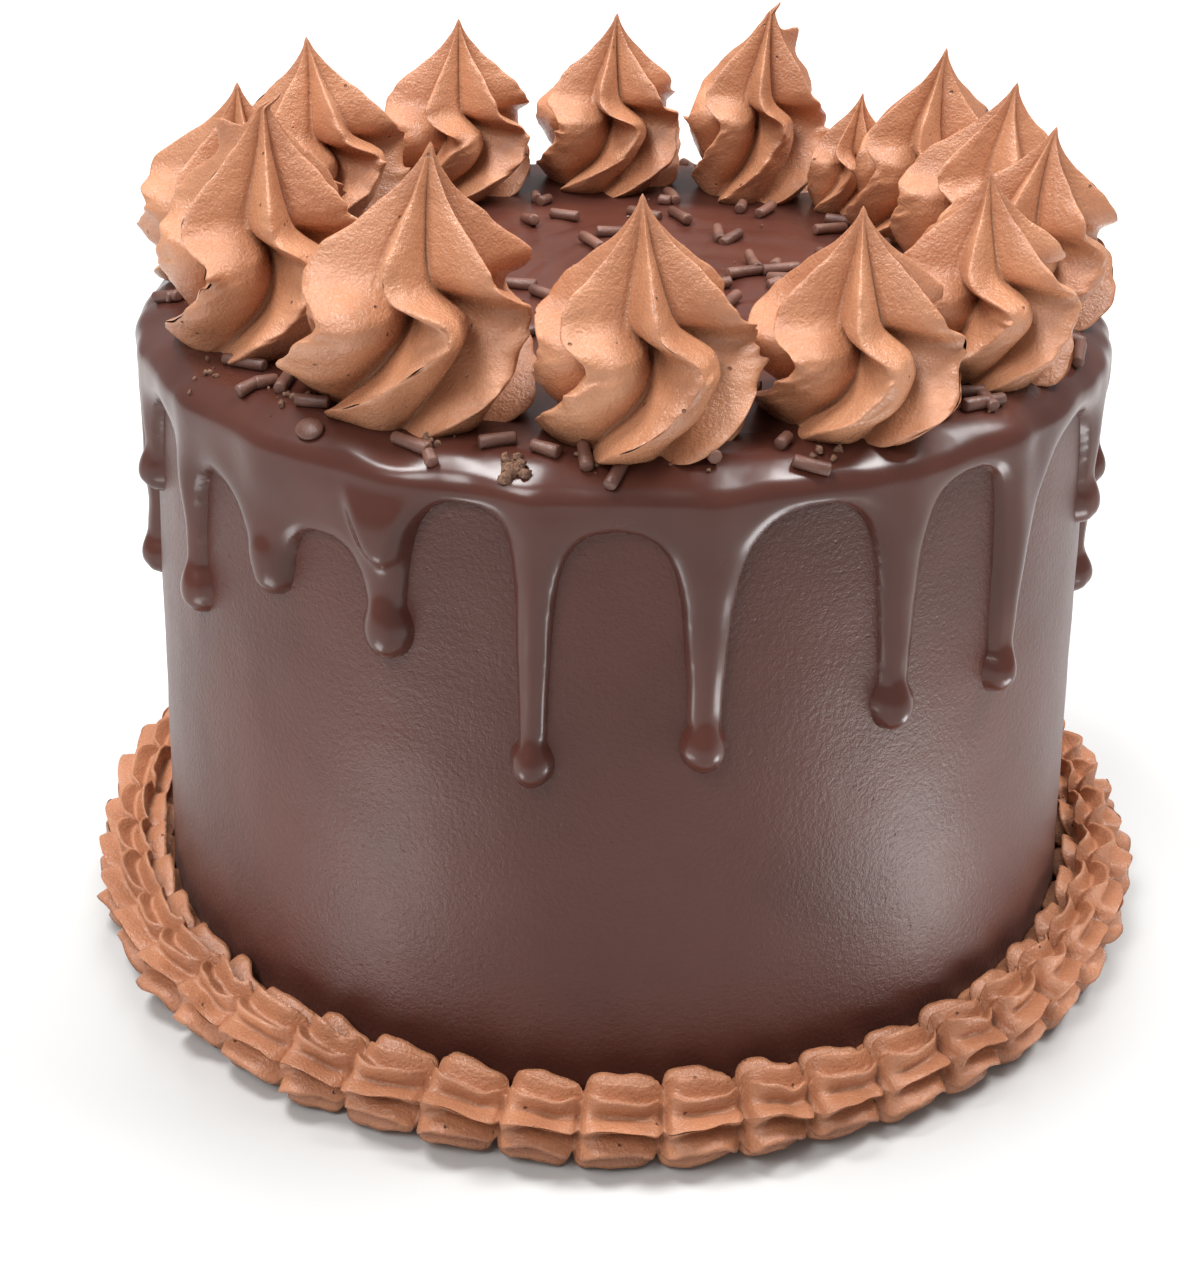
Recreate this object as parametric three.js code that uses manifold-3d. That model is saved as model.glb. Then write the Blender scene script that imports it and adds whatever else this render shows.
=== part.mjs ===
// Chocolate drip cake: a round frosted cake with a poured ganache top that runs down the side,
// a ring of piped swirls round the top, a piped shell border round the foot and chocolate sprinkles.
//
// Millimetres, +Z up. The origin is the centre of the flat underside of the cake.

import * as THREE from 'three';
import { mergeVertices } from 'three/addons/utils/BufferGeometryUtils.js';
import Module from 'manifold-3d';

const wasm = await Module();
wasm.setup();

// ---------------------------------------------------------------- driving dimensions

// The frosted cake body, a little narrower at the top than at the foot.
const BODY_HEIGHT = 105;
const BODY_FOOT_RADIUS = 80;
const BODY_TOP_RADIUS = 75.2;
const BODY_EDGE_ROUND = 3;
const BODY_EDGE_CUT = 0.3; // share of the round by which its middle station is cut back
const BODY_SIDES = 60;

// Clear gap kept between pieces that rest against each other.
const GAP = 0.3;

// Vertices nearer than the first are one vertex, and joining may move a face by up to the second.
const MERGE_DISTANCE = 1e-3;
const JOIN_TOLERANCE = 0.03;
const LEVEL_TOLERANCE = 1e-6;

// The ganache: a poured sheet on top, a rounded rim and a short curtain down the side.
const GANACHE_TOP_THICKNESS = 2.2;
const GANACHE_RIM_THICKNESS = 2.3;
const CURTAIN_EDGE_HEIGHT = 100.5;
const CURTAIN_SWELL = 2.4; // height over which the curtain grows to its full thickness
const CURTAIN_CORNER_GAP = 0.1; // more clearance where it bends over the body's edge
const CURTAIN_SIDES = 60;

// Stations of the curtain's lower lip: share of the lip's width, and height above the edge.
const CURTAIN_LIP = 1.2;
const LIP_STATIONS = [
  [0, 0.6],
  [0.5, -0.2],
  [1, 0.3],
];

// Stations of the rim's round: how far inward and how far down each is from the square corner.
const RIM_STATIONS = [
  [0, 3.4],
  [0.9, 1.2],
  [3.4, 0],
];

// The edge's wave: its height, its parts as share, waves round the cake and shift, where it starts
// below the top, and how far above the edge it is full.
const CURTAIN_WAVE = 1.3;
const CURTAIN_WAVE_PARTS = [
  [0.6, 5, 1],
  [0.4, 11, 0],
];
const CURTAIN_WAVE_START = 3.5;
const CURTAIN_WAVE_FULL = 2;
const SIDE_TOLERANCE = 0.01;

// A drip: flared where it leaves the curtain, a neck, and a round bead at its end.
const DRIP_SIDES = 8;
const DRIP_ROOT_HEIGHT = 103;
const DRIP_FLARE_LENGTH = 13;
const DRIP_FLARE_SHARE = 0.5; // the flare takes no more than this share of a short drip
const DRIP_NECK_PROUD = 2.0;
const DRIP_BEAD_PROUD = 3.1;
const DRIP_BACK_RISE = 0.3;
const DRIP_BACK_GAP = 0.1;
const DRIP_TAIL_PROUD = 0.4; // share of the thickness that is left at the pointed ends
const DRIP_SWELL = [0.7, 0.9]; // shares of the length between which it swells to the bead

// Stations of the outline: down the flare, as share of its length and of the way to its width;
// above and below the bead's middle, as shares of the bead's half width.
const FLARE_BEND = 0.4;
const FLARE_END_WIDTH = 1.1;
const BEAD_MIDDLE_UP = 1.1;
const BEAD_SHOULDER_UP = 1.3;
const BEAD_CHEEK_UP = 0.25;
const BEAD_CHEEK_WIDTH = 0.6;

// Drips in order round the cake: azimuth (degrees), height of the lower end, neck and bead widths,
// width of the flare at the curtain.
const FRONT_DRIPS = [
  { at: 189, end: 60.2, neck: 4.4, bead: 5.8, flare: 15 },
  { at: 197, end: 79.8, neck: 5.0, bead: 6.0, flare: 12 },
  { at: 214, end: 68.9, neck: 4.6, bead: 7.2, flare: 15 },
  { at: 229.4, end: 79.6, neck: 7.6, bead: 8.0, flare: 18 },
  { at: 244.8, end: 75.4, neck: 6.0, bead: 6.6, flare: 22 },
  { at: 260.8, end: 58.8, neck: 5.4, bead: 5.8, flare: 18 },
  { at: 278.7, end: 61.6, neck: 5.6, bead: 6.0, flare: 24 },
  { at: 300.5, end: 63.4, neck: 5.0, bead: 6.6, flare: 19 },
  { at: 316.7, end: 62.4, neck: 4.4, bead: 6.2, flare: 14 },
  { at: 342, end: 77, neck: 4.6, bead: 6.2, flare: 13 },
  { at: 348.6, end: 79.4, neck: 4.2, bead: 5.8, flare: 10 },
  { at: 354.8, end: 56.6, neck: 4.2, bead: 6.0, flare: 15 },
];

// The drips round the back repeat the same mix of lengths and widths.
const BACK_DRIP_COUNT = 10;
const BACK_DRIP_START = 10;
const BACK_DRIP_SPAN = 164;
const BACK_DRIP_SHORT = 57;
const BACK_DRIP_RANGE = 25;
const BACK_DRIP_NECK = 4.4;
const BACK_DRIP_NECK_RANGE = 1.6;
const BACK_DRIP_BEAD_MORE = 1;
const BACK_DRIP_FLARE = 14;
const BACK_DRIP_FLARE_RANGE = 6;
const BACK_DRIP_SHIFT = 0.35; // share of the spacing by which one may be moved

// Piped swirls. Each stands on the ganache, close to the rim, on a circle of this radius.
const SWIRL_RIDGES = 6;
const SWIRL_POINTS_A_RIDGE = 4;
const SWIRL_RIDGE_POWER = 0.9;

// One row a level, from the foot to the tip: height and radius as shares of the whole,
// turn of the ridges in degrees, and depth of the grooves as a share of the radius.
const SWIRL_LEVELS = [
  { up: 0.0, out: 0.82, turn: -50, groove: 0.16 },
  { up: 0.12, out: 0.97, turn: -34, groove: 0.22 },
  { up: 0.26, out: 1.0, turn: -4, groove: 0.24 },
  { up: 0.36, out: 0.95, turn: 22, groove: 0.26 },
  { up: 0.45, out: 0.9, turn: 12, groove: 0.34 },
  { up: 0.57, out: 0.73, turn: 2, groove: 0.38 },
  { up: 0.69, out: 0.44, turn: 0, groove: 0.4 },
  { up: 0.83, out: 0.2, turn: 0, groove: 0.38 },
];

// Swirls in order round the cake: azimuth (degrees), ring radius, half widths along the ring and
// across it, height, turn of the whole swirl, and how far the tip leans to +X.
const SWIRLS = [
  { at: 241, ring: 60.5, along: 17.8, across: 17.2, tall: 36.5, turn: 10, lean: 3.0 },
  { at: 272.5, ring: 62, along: 15.4, across: 15.8, tall: 32.5, turn: 0, lean: -1.0 },
  { at: 300.5, ring: 63, along: 14.8, across: 15, tall: 29, turn: 24, lean: -0.6 },
  { at: 326, ring: 62.5, along: 12.6, across: 14.6, tall: 29, turn: 40, lean: -0.5 },
  { at: 349.5, ring: 62, along: 12.4, across: 15.2, tall: 29, turn: 12, lean: 4.0 },
  { at: 11.5, ring: 61, along: 11, across: 15.6, tall: 30, turn: 30, lean: 3.0 },
  { at: 31.5, ring: 61, along: 10.4, across: 15, tall: 31, turn: 50, lean: 2.0 },
  { at: 48.3, ring: 61, along: 6.8, across: 7.6, tall: 20, turn: 5, lean: 1.5 },
  { at: 67, ring: 60.5, along: 12.4, across: 13.4, tall: 33.5, turn: 20, lean: 2.6 },
  { at: 92.5, ring: 61, along: 13.8, across: 14.2, tall: 30, turn: 44, lean: 1.2 },
  { at: 119.2, ring: 62, along: 14.2, across: 15, tall: 30, turn: 8, lean: 0.6 },
  { at: 147.2, ring: 62, along: 15.2, across: 14.6, tall: 31, turn: 28, lean: -2.0 },
  { at: 175.4, ring: 62, along: 14.4, across: 16.4, tall: 30, turn: 52, lean: 0.4 },
  { at: 205.5, ring: 59.5, along: 16.2, across: 16, tall: 36, turn: 16, lean: 1.2 },
];

// The piped shells round the foot of the cake. The stations are shares of a shell's length: it
// tapers up to the last one and then swells steeply into the next shell.
const SHELL_COUNT = 46;
const SHELL_STATIONS = [0, 0.48, 0.84];
const SHELL_SECTION_POINTS = 10;
const SHELL_TAPER = 0.26;
const SHELL_DROP = 1.4;
const SHELL_GROOVE = 0.17;
const SHELL_RIDGE_TURN = 0.3;
const BORDER_WIDTH = 13.6;
const BORDER_HEIGHT = 15.8;
const BORDER_TUCK = 2.4;

// Chocolate sprinkles, rods with round ends, half sunk in the ganache.
const SPRINKLE_COUNT = 40;
const SPRINKLE_RADIUS = 1.15;
const SPRINKLE_LENGTH = 4.6;
const SPRINKLE_SHORTEST = 0.75; // share of the length
const SPRINKLE_LENGTH_RANGE = 0.35;
const SPRINKLE_SIDES = 6;
const SPRINKLE_FIELD_RADIUS = 39;
const SPRINKLE_SINK = 0.25;
const SPRINKLE_SPACING = 5.2;
const RANDOM_SEED = 7;
const RANDOM_MULTIPLIER = 48271;
const RANDOM_MODULUS = 2147483647;

// ---------------------------------------------------------------- materials

const FROSTING = new THREE.MeshStandardMaterial({ color: 0x5b3a30, roughness: 0.55, metalness: 0 });
const GANACHE = new THREE.MeshStandardMaterial({ color: 0x33191a, roughness: 0.25, metalness: 0 });
const PIPING = new THREE.MeshStandardMaterial({ color: 0x8f5b3c, roughness: 0.5, metalness: 0 });
const BORDER_PIPING = new THREE.MeshStandardMaterial({ color: 0x86502f, roughness: 0.5, metalness: 0 });

// ---------------------------------------------------------------- helpers

const TURN = Math.PI * 2;
const radians = THREE.MathUtils.degToRad;
const smoothstep = THREE.MathUtils.smoothstep;
const lerp = THREE.MathUtils.lerp;

// Radius of the cake's side at a height.
function wallRadius(z) {
  return lerp(BODY_FOOT_RADIUS, BODY_TOP_RADIUS, z / BODY_HEIGHT);
}

// A repeatable random number source.
function seededRandom(seed) {
  let state = seed;
  return () => {
    state = (state * RANDOM_MULTIPLIER) % RANDOM_MODULUS;
    return state / RANDOM_MODULUS;
  };
}

// Moves every vertex of a geometry by a function of its position.
function reshape(geometry, move) {
  const position = geometry.getAttribute('position');
  const point = new THREE.Vector3();
  for (let i = 0; i < position.count; i += 1) {
    point.fromBufferAttribute(position, i);
    move(point);
    position.setXYZ(i, point.x, point.y, point.z);
  }
  return geometry;
}

// Revolves an outline of [radius, height] pairs about +Z.
function revolve(outline, sides) {
  const points = outline.map(([radius, height]) => new THREE.Vector2(radius, height));
  return new THREE.LatheGeometry(points, sides).rotateX(Math.PI / 2);
}

// Turns a closed geometry into a solid that can be joined.
function toSolid(geometry) {
  const bare = geometry.clone();
  bare.deleteAttribute('normal');
  bare.deleteAttribute('uv');
  const merged = mergeVertices(bare, MERGE_DISTANCE);
  return new wasm.Manifold(
    new wasm.Mesh({
      numProp: 3,
      vertProperties: new Float32Array(merged.getAttribute('position').array),
      triVerts: new Uint32Array(merged.getIndex().array),
    }),
  );
}

// Turns a solid back into a geometry with flat faces.
function toGeometry(solid) {
  const mesh = solid.getMesh();
  const geometry = new THREE.BufferGeometry();
  geometry.setAttribute('position', new THREE.BufferAttribute(new Float32Array(mesh.vertProperties), 3));
  geometry.setIndex(new THREE.BufferAttribute(new Uint32Array(mesh.triVerts), 1));
  geometry.computeVertexNormals();
  return geometry;
}

function addPiece(group, name, geometry, material) {
  const mesh = new THREE.Mesh(geometry, material);
  mesh.name = name;
  group.add(mesh);
  return mesh;
}

// ---------------------------------------------------------------- cake body

function bodyGeometry() {
  const round = BODY_EDGE_ROUND;
  const cut = round * BODY_EDGE_CUT;
  const shoulder = wallRadius(BODY_HEIGHT - round);
  const outline = [
    [0, 0],
    [BODY_FOOT_RADIUS, 0],
    [shoulder, BODY_HEIGHT - round],
    [shoulder - cut, BODY_HEIGHT - cut],
    [shoulder - round, BODY_HEIGHT],
    [0, BODY_HEIGHT],
  ];
  return toGeometry(toSolid(revolve(outline, BODY_SIDES)));
}

// ---------------------------------------------------------------- ganache

const GANACHE_TOP = BODY_HEIGHT + GAP + GANACHE_TOP_THICKNESS;

// Height of the curtain's lower edge at an azimuth.
function curtainEdge(angle) {
  const parts = CURTAIN_WAVE_PARTS.map(([share, waves, shift]) => share * Math.sin(waves * angle + shift));
  return CURTAIN_EDGE_HEIGHT + CURTAIN_WAVE * parts.reduce((sum, part) => sum + part, 0);
}

// The sheet on top and the curtain over the edge, as one revolved shell with a wavy lower edge.
function curtainSolid() {
  const round = BODY_EDGE_ROUND;
  const cut = round * BODY_EDGE_CUT - CURTAIN_CORNER_GAP;
  const low = CURTAIN_EDGE_HEIGHT;
  const inside = wallRadius(BODY_HEIGHT - round) + GAP;
  const outside = inside + GANACHE_RIM_THICKNESS;
  const underside = BODY_HEIGHT + GAP;
  const lip = wallRadius(low) + GAP;
  const outline = [
    [0, underside],
    [inside - round, underside],
    [inside - cut, underside - cut],
    [inside, underside - round],
    ...LIP_STATIONS.map(([share, up]) => [lip + CURTAIN_LIP * share, low + up]),
    [outside, low + CURTAIN_SWELL],
    ...RIM_STATIONS.map(([inward, down]) => [outside - inward, GANACHE_TOP - down]),
    [0, GANACHE_TOP],
  ];
  const shell = revolve(outline, CURTAIN_SIDES);
  const waveTop = GANACHE_TOP - CURTAIN_WAVE_START;
  const waveFull = low + CURTAIN_WAVE_FULL;
  reshape(shell, (p) => {
    if (p.z < waveTop && Math.hypot(p.x, p.y) > inside - SIDE_TOLERANCE) {
      const share = smoothstep(waveTop - p.z, 0, waveTop - waveFull);
      p.z += (curtainEdge(Math.atan2(p.y, p.x)) - low) * share;
    }
  });
  return toSolid(shell);
}

// Outline of a drip: distance below its root and half width, from the root to the lower end.
function dripOutline(drip) {
  const length = DRIP_ROOT_HEIGHT - drip.end;
  const neck = drip.neck / 2;
  const bead = drip.bead / 2;
  const flare = Math.min(DRIP_FLARE_LENGTH, length * DRIP_FLARE_SHARE);
  const beadMiddle = length - bead * BEAD_MIDDLE_UP;
  return [
    [0, 0],
    [0, drip.flare / 2],
    [flare * FLARE_BEND, lerp(neck, drip.flare / 2, FLARE_BEND)],
    [flare, neck * FLARE_END_WIDTH],
    [beadMiddle - bead * BEAD_SHOULDER_UP, neck],
    [beadMiddle, bead],
    [length - bead * BEAD_CHEEK_UP, bead * BEAD_CHEEK_WIDTH],
    [length, 0],
  ];
}

// One drip, laid against the side of the cake.
function dripSolid(drip) {
  const length = DRIP_ROOT_HEIGHT - drip.end;
  const outline = dripOutline(drip).map(([distance, half]) => [half, -distance]);
  const shape = revolve(outline.reverse(), DRIP_SIDES);
  const azimuth = radians(drip.at);
  const [swellStart, swellEnd] = DRIP_SWELL.map((share) => share * length);
  reshape(shape, (p) => {
    const distance = -p.z;
    const half = Math.hypot(p.x, p.y);
    const sine = half > 0 ? p.y / half : 0;
    const across = p.x;
    const proud = lerp(DRIP_NECK_PROUD, DRIP_BEAD_PROUD, smoothstep(distance, swellStart, swellEnd));
    const closing = Math.min(1, half / (drip.neck / 2));
    const rise = sine >= 0 ? DRIP_BACK_RISE + (1 - DRIP_BACK_RISE) * sine : DRIP_BACK_RISE * (1 + sine);
    const z = DRIP_ROOT_HEIGHT - distance;
    const radius = wallRadius(z) + GAP + DRIP_BACK_GAP + proud * rise * Math.max(closing, DRIP_TAIL_PROUD);
    const angle = azimuth - across / BODY_TOP_RADIUS;
    p.set(radius * Math.cos(angle), radius * Math.sin(angle), z);
  });
  return toSolid(shape);
}

// Lengths and widths of the drips that run down the far side.
function backDrips() {
  const random = seededRandom(RANDOM_SEED + 4);
  const drips = [];
  const step = BACK_DRIP_SPAN / BACK_DRIP_COUNT;
  for (let i = 0; i < BACK_DRIP_COUNT; i += 1) {
    const neck = BACK_DRIP_NECK + BACK_DRIP_NECK_RANGE * random();
    drips.push({
      at: BACK_DRIP_START + step * (i + BACK_DRIP_SHIFT * random()),
      end: BACK_DRIP_SHORT + BACK_DRIP_RANGE * random(),
      neck,
      bead: neck + BACK_DRIP_BEAD_MORE + random(),
      flare: BACK_DRIP_FLARE + BACK_DRIP_FLARE_RANGE * random(),
    });
  }
  return drips;
}

// A rod with round ends lying on the ganache.
function sprinkleSolid(x, y, heading, length) {
  const rod = new THREE.CapsuleGeometry(SPRINKLE_RADIUS, length, 1, SPRINKLE_SIDES, 1);
  rod.rotateZ(heading);
  rod.translate(x, y, GANACHE_TOP + SPRINKLE_RADIUS - SPRINKLE_SINK);
  return toSolid(rod);
}

// Sprinkles spread over the middle of the top, none nearer to another than the spacing.
function sprinkleSolids() {
  const random = seededRandom(RANDOM_SEED);
  const placed = [];
  const solids = [];
  while (placed.length < SPRINKLE_COUNT) {
    const radius = SPRINKLE_FIELD_RADIUS * Math.sqrt(random());
    const angle = TURN * random();
    const spot = new THREE.Vector2(radius * Math.cos(angle), radius * Math.sin(angle));
    const heading = Math.PI * random();
    const length = SPRINKLE_LENGTH * (SPRINKLE_SHORTEST + SPRINKLE_LENGTH_RANGE * random());
    if (placed.every((other) => other.distanceTo(spot) > SPRINKLE_SPACING)) {
      placed.push(spot);
      solids.push(sprinkleSolid(spot.x, spot.y, heading, length));
    }
  }
  return solids;
}

// The largest closed shell of a joined solid, so that pockets sealed by joining are filled.
function outerShell(solid) {
  const shells = solid.decompose();
  return shells.reduce((largest, shell) => (shell.volume() > largest.volume() ? shell : largest));
}

function ganacheGeometry() {
  let solid = curtainSolid();
  for (const drip of [...FRONT_DRIPS, ...backDrips()]) {
    solid = solid.add(dripSolid(drip));
  }
  for (const sprinkle of sprinkleSolids()) {
    solid = solid.add(sprinkle);
  }
  return toGeometry(outerShell(solid).simplify(JOIN_TOLERANCE));
}

// ---------------------------------------------------------------- swirls

// Radius of the star-shaped section at an angle from a ridge, as a share of the ridge radius.
function starShare(angle, groove) {
  return 1 - groove * Math.abs(Math.sin((SWIRL_RIDGES / 2) * angle)) ** SWIRL_RIDGE_POWER;
}

// A piped swirl on its own foot: ridges slant round the base, hook back and rise to the tip.
function swirlGeometry(swirl) {
  const outline = SWIRL_LEVELS.map((level) => [level.out, level.up]);
  const shape = revolve([[0, 0], ...outline, [0, 1]], SWIRL_RIDGES * SWIRL_POINTS_A_RIDGE);
  reshape(shape, (p) => {
    const level = SWIRL_LEVELS.find((row) => Math.abs(row.up - p.z) < LEVEL_TOLERANCE);
    const out = Math.hypot(p.x, p.y);
    if (level !== undefined && out > 0) {
      const angle = Math.atan2(p.y, p.x);
      const share = starShare(angle, level.groove) * out;
      const turned = angle + radians(level.turn + swirl.turn);
      p.x = share * Math.cos(turned);
      p.y = share * Math.sin(turned);
    }
    const rise = p.z;
    p.set(p.x * swirl.across, p.y * swirl.along, rise * swirl.tall);
  });
  shape.rotateZ(radians(swirl.at));
  reshape(shape, (p) => {
    p.x += swirl.lean * (p.z / swirl.tall) ** 2;
  });
  return toGeometry(toSolid(shape));
}

// ---------------------------------------------------------------- base border

// A ring of overlapping shells: each starts full and tapers to the next, with ridges along it.
function borderGeometry() {
  const stations = SHELL_COUNT * SHELL_STATIONS.length;
  const ring = new THREE.TorusGeometry(BODY_FOOT_RADIUS, 1, SHELL_SECTION_POINTS, stations);
  const halfWidth = (BORDER_WIDTH + BORDER_TUCK) / 2;
  const halfHeight = (BORDER_HEIGHT + BORDER_TUCK) / 2;
  const middle = BODY_FOOT_RADIUS + BORDER_WIDTH - halfWidth;
  reshape(ring, (p) => {
    const station = Math.round((Math.atan2(p.y, p.x) / TURN) * stations + stations) % stations;
    const shell = Math.floor(station / SHELL_STATIONS.length);
    const along = SHELL_STATIONS[station % SHELL_STATIONS.length];
    const around = ((shell + along) / SHELL_COUNT) * TURN;
    const section = Math.atan2(p.z, Math.hypot(p.x, p.y) - BODY_FOOT_RADIUS);
    const step = Math.round((section / TURN) * SHELL_SECTION_POINTS);
    const ridge = Math.abs(step) % 2 === 0 ? 1 : 1 - SHELL_GROOVE;
    const size = (1 - SHELL_TAPER * along) * ridge;
    const turned = section - SHELL_RIDGE_TURN * along;
    const centre = BORDER_HEIGHT - halfHeight - SHELL_DROP * along;
    const z = Math.max(0, centre + halfHeight * size * Math.sin(turned));
    const radius = Math.max(wallRadius(z) + GAP, middle + halfWidth * size * Math.cos(turned));
    p.set(radius * Math.cos(around), radius * Math.sin(around), z);
  });
  return toGeometry(toSolid(ring));
}

// ---------------------------------------------------------------- the cake

const cake = new THREE.Group();

addPiece(cake, 'cake_body', bodyGeometry(), FROSTING);
addPiece(cake, 'ganache', ganacheGeometry(), GANACHE);
addPiece(cake, 'base_border', borderGeometry(), BORDER_PIPING);

SWIRLS.forEach((swirl, index) => {
  const name = `swirl_${String(index + 1).padStart(2, '0')}`;
  const mesh = addPiece(cake, name, swirlGeometry(swirl), PIPING);
  const azimuth = radians(swirl.at);
  mesh.position.set(swirl.ring * Math.cos(azimuth), swirl.ring * Math.sin(azimuth), GANACHE_TOP + GAP);
});

export default cake;
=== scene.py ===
"""Chocolate drip cake: frosted body, poured ganache with drips, piped swirls and a piped shell border.

Metres, +Z up. The origin is the centre of the cake's flat underside and the side seen faces -Y.
"""
import logging
import math
from dataclasses import dataclass, field

import bmesh
import bpy
import numpy as np
from mathutils import Matrix, Vector
from mathutils.bvhtree import BVHTree
from mathutils.kdtree import KDTree


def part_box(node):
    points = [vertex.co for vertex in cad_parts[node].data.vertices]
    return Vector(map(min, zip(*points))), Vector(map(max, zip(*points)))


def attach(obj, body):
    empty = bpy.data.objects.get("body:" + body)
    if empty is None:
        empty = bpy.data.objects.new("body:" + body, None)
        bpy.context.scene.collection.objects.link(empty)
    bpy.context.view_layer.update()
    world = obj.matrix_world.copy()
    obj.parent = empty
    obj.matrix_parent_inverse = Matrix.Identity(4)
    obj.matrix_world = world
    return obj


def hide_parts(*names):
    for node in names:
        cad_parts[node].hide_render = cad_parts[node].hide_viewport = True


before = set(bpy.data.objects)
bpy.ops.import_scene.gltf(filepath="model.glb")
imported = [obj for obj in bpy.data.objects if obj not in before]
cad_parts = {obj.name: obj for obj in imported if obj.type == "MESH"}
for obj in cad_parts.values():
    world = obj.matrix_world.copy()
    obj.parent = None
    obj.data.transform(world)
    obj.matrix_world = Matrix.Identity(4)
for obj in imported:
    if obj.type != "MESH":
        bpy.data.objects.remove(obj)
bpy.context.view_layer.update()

MM = 0.001
TURN = 2 * math.pi
ROOT = "root"
WELD = 0.01 * MM
log = logging.getLogger("cake")


# ---------------------------------------------------------------- sizes shared by the pieces

@dataclass(frozen=True)
class CakeSizes:
    """Sizes of the frosted body and the ganache on it, which the other pieces stand on."""

    height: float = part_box("cake_body")[1].z
    foot_radius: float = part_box("cake_body")[1].x
    top_radius: float = 75.2 * MM
    edge_round: float = 3 * MM
    gap: float = 0.3 * MM
    pour: float = 2.2 * MM

    @property
    def ganache_top(self) -> float:
        """Height of the ganache's flat top."""
        return self.height + self.gap + self.pour

    def wall(self, z: np.ndarray) -> np.ndarray:
        """Radius of the frosted side.

        Args:
            z: Heights above the underside.

        Returns:
            The radius at each height.
        """
        return self.foot_radius + (self.top_radius - self.foot_radius) * z / self.height


SIZES = CakeSizes()


# ---------------------------------------------------------------- curves and unevenness

def smoothstep(low: float, high: float, x: np.ndarray) -> np.ndarray:
    """Rises smoothly from 0 to 1.

    Args:
        low: Where the rise starts.
        high: Where the rise ends.
        x: The places asked for.

    Returns:
        The share at each place.
    """
    t = np.clip((x - low) / (high - low), 0, 1)
    return t * t * (3 - 2 * t)


def smooth_curve(keys: list[float], values: list[float], x: np.ndarray) -> np.ndarray:
    """Runs a cubic curve through stations.

    Args:
        keys: Rising places of the stations.
        values: The value at each station.
        x: The places asked for.

    Returns:
        The value at each place.
    """
    keys = np.asarray(keys, float)
    values = np.asarray(values, float)
    slopes = np.gradient(values, keys)
    i = np.clip(np.searchsorted(keys, x) - 1, 0, len(keys) - 2)
    span = keys[i + 1] - keys[i]
    t = np.clip((x - keys[i]) / span, 0, 1)
    from_start = (1 + 2 * t) * (1 - t) ** 2 * values[i] + t * (1 - t) ** 2 * span * slopes[i]
    from_end = t * t * (3 - 2 * t) * values[i + 1] - t * t * (1 - t) * span * slopes[i + 1]
    return from_start + from_end


@dataclass(frozen=True)
class Unevenness:
    """Smooth random unevenness, the same each run.

    Args:
        grain: Distance from bump to bump.
        seed: Seed of the random draw.
        waves: How many plane waves are summed.
    """

    grain: float
    seed: int
    waves: int = 20

    def at(self, points: np.ndarray) -> np.ndarray:
        """Gives the unevenness at places.

        Args:
            points: One row of coordinates a place.

        Returns:
            A number near the range -1 to 1 for each place.
        """
        draw = np.random.default_rng(self.seed)
        headings = draw.normal(size=(self.waves, points.shape[1]))
        headings /= np.linalg.norm(headings, axis=1)[:, None]
        paces = TURN / self.grain * draw.uniform(0.6, 1.5, self.waves)
        shifts = draw.uniform(0, TURN, self.waves)
        total = np.zeros(len(points))
        for heading, pace, shift in zip(headings, paces, shifts):
            total += np.sin(points @ heading * pace + shift)
        return total / math.sqrt(self.waves)


# ---------------------------------------------------------------- shader maths

class Wire:
    """A node's output, with arithmetic that adds Math nodes."""

    def __init__(self, tree: "FinishTree", socket: bpy.types.NodeSocket) -> None:
        """Keeps the tree and the output."""
        self.tree = tree
        self.socket = socket

    def math(self, operation: str, *values: "Wire | float") -> "Wire":
        """Adds a Math node.

        Args:
            operation: The Math node's operation.
            values: Its inputs, in order.

        Returns:
            The node's output.
        """
        inputs = {place: value for place, value in enumerate(values)}
        return self.tree.add("ShaderNodeMath", {"operation": operation}, inputs)

    def __add__(self, other: "Wire | float") -> "Wire":
        """Sum."""
        return self.math("ADD", self, other)

    __radd__ = __add__

    def __mul__(self, other: "Wire | float") -> "Wire":
        """Product."""
        return self.math("MULTIPLY", self, other)

    __rmul__ = __mul__

    def __sub__(self, other: "Wire | float") -> "Wire":
        """Difference."""
        return self.math("SUBTRACT", self, other)

    def __rsub__(self, other: "Wire | float") -> "Wire":
        """Difference with this value last."""
        return self.math("SUBTRACT", other, self)

    def rise(self, low: float, high: float) -> "Wire":
        """Smooth step of this value from low to high."""
        settings = {"interpolation_type": "SMOOTHSTEP"}
        return self.tree.add("ShaderNodeMapRange", settings, {"Value": self, "From Min": low, "From Max": high})


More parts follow.
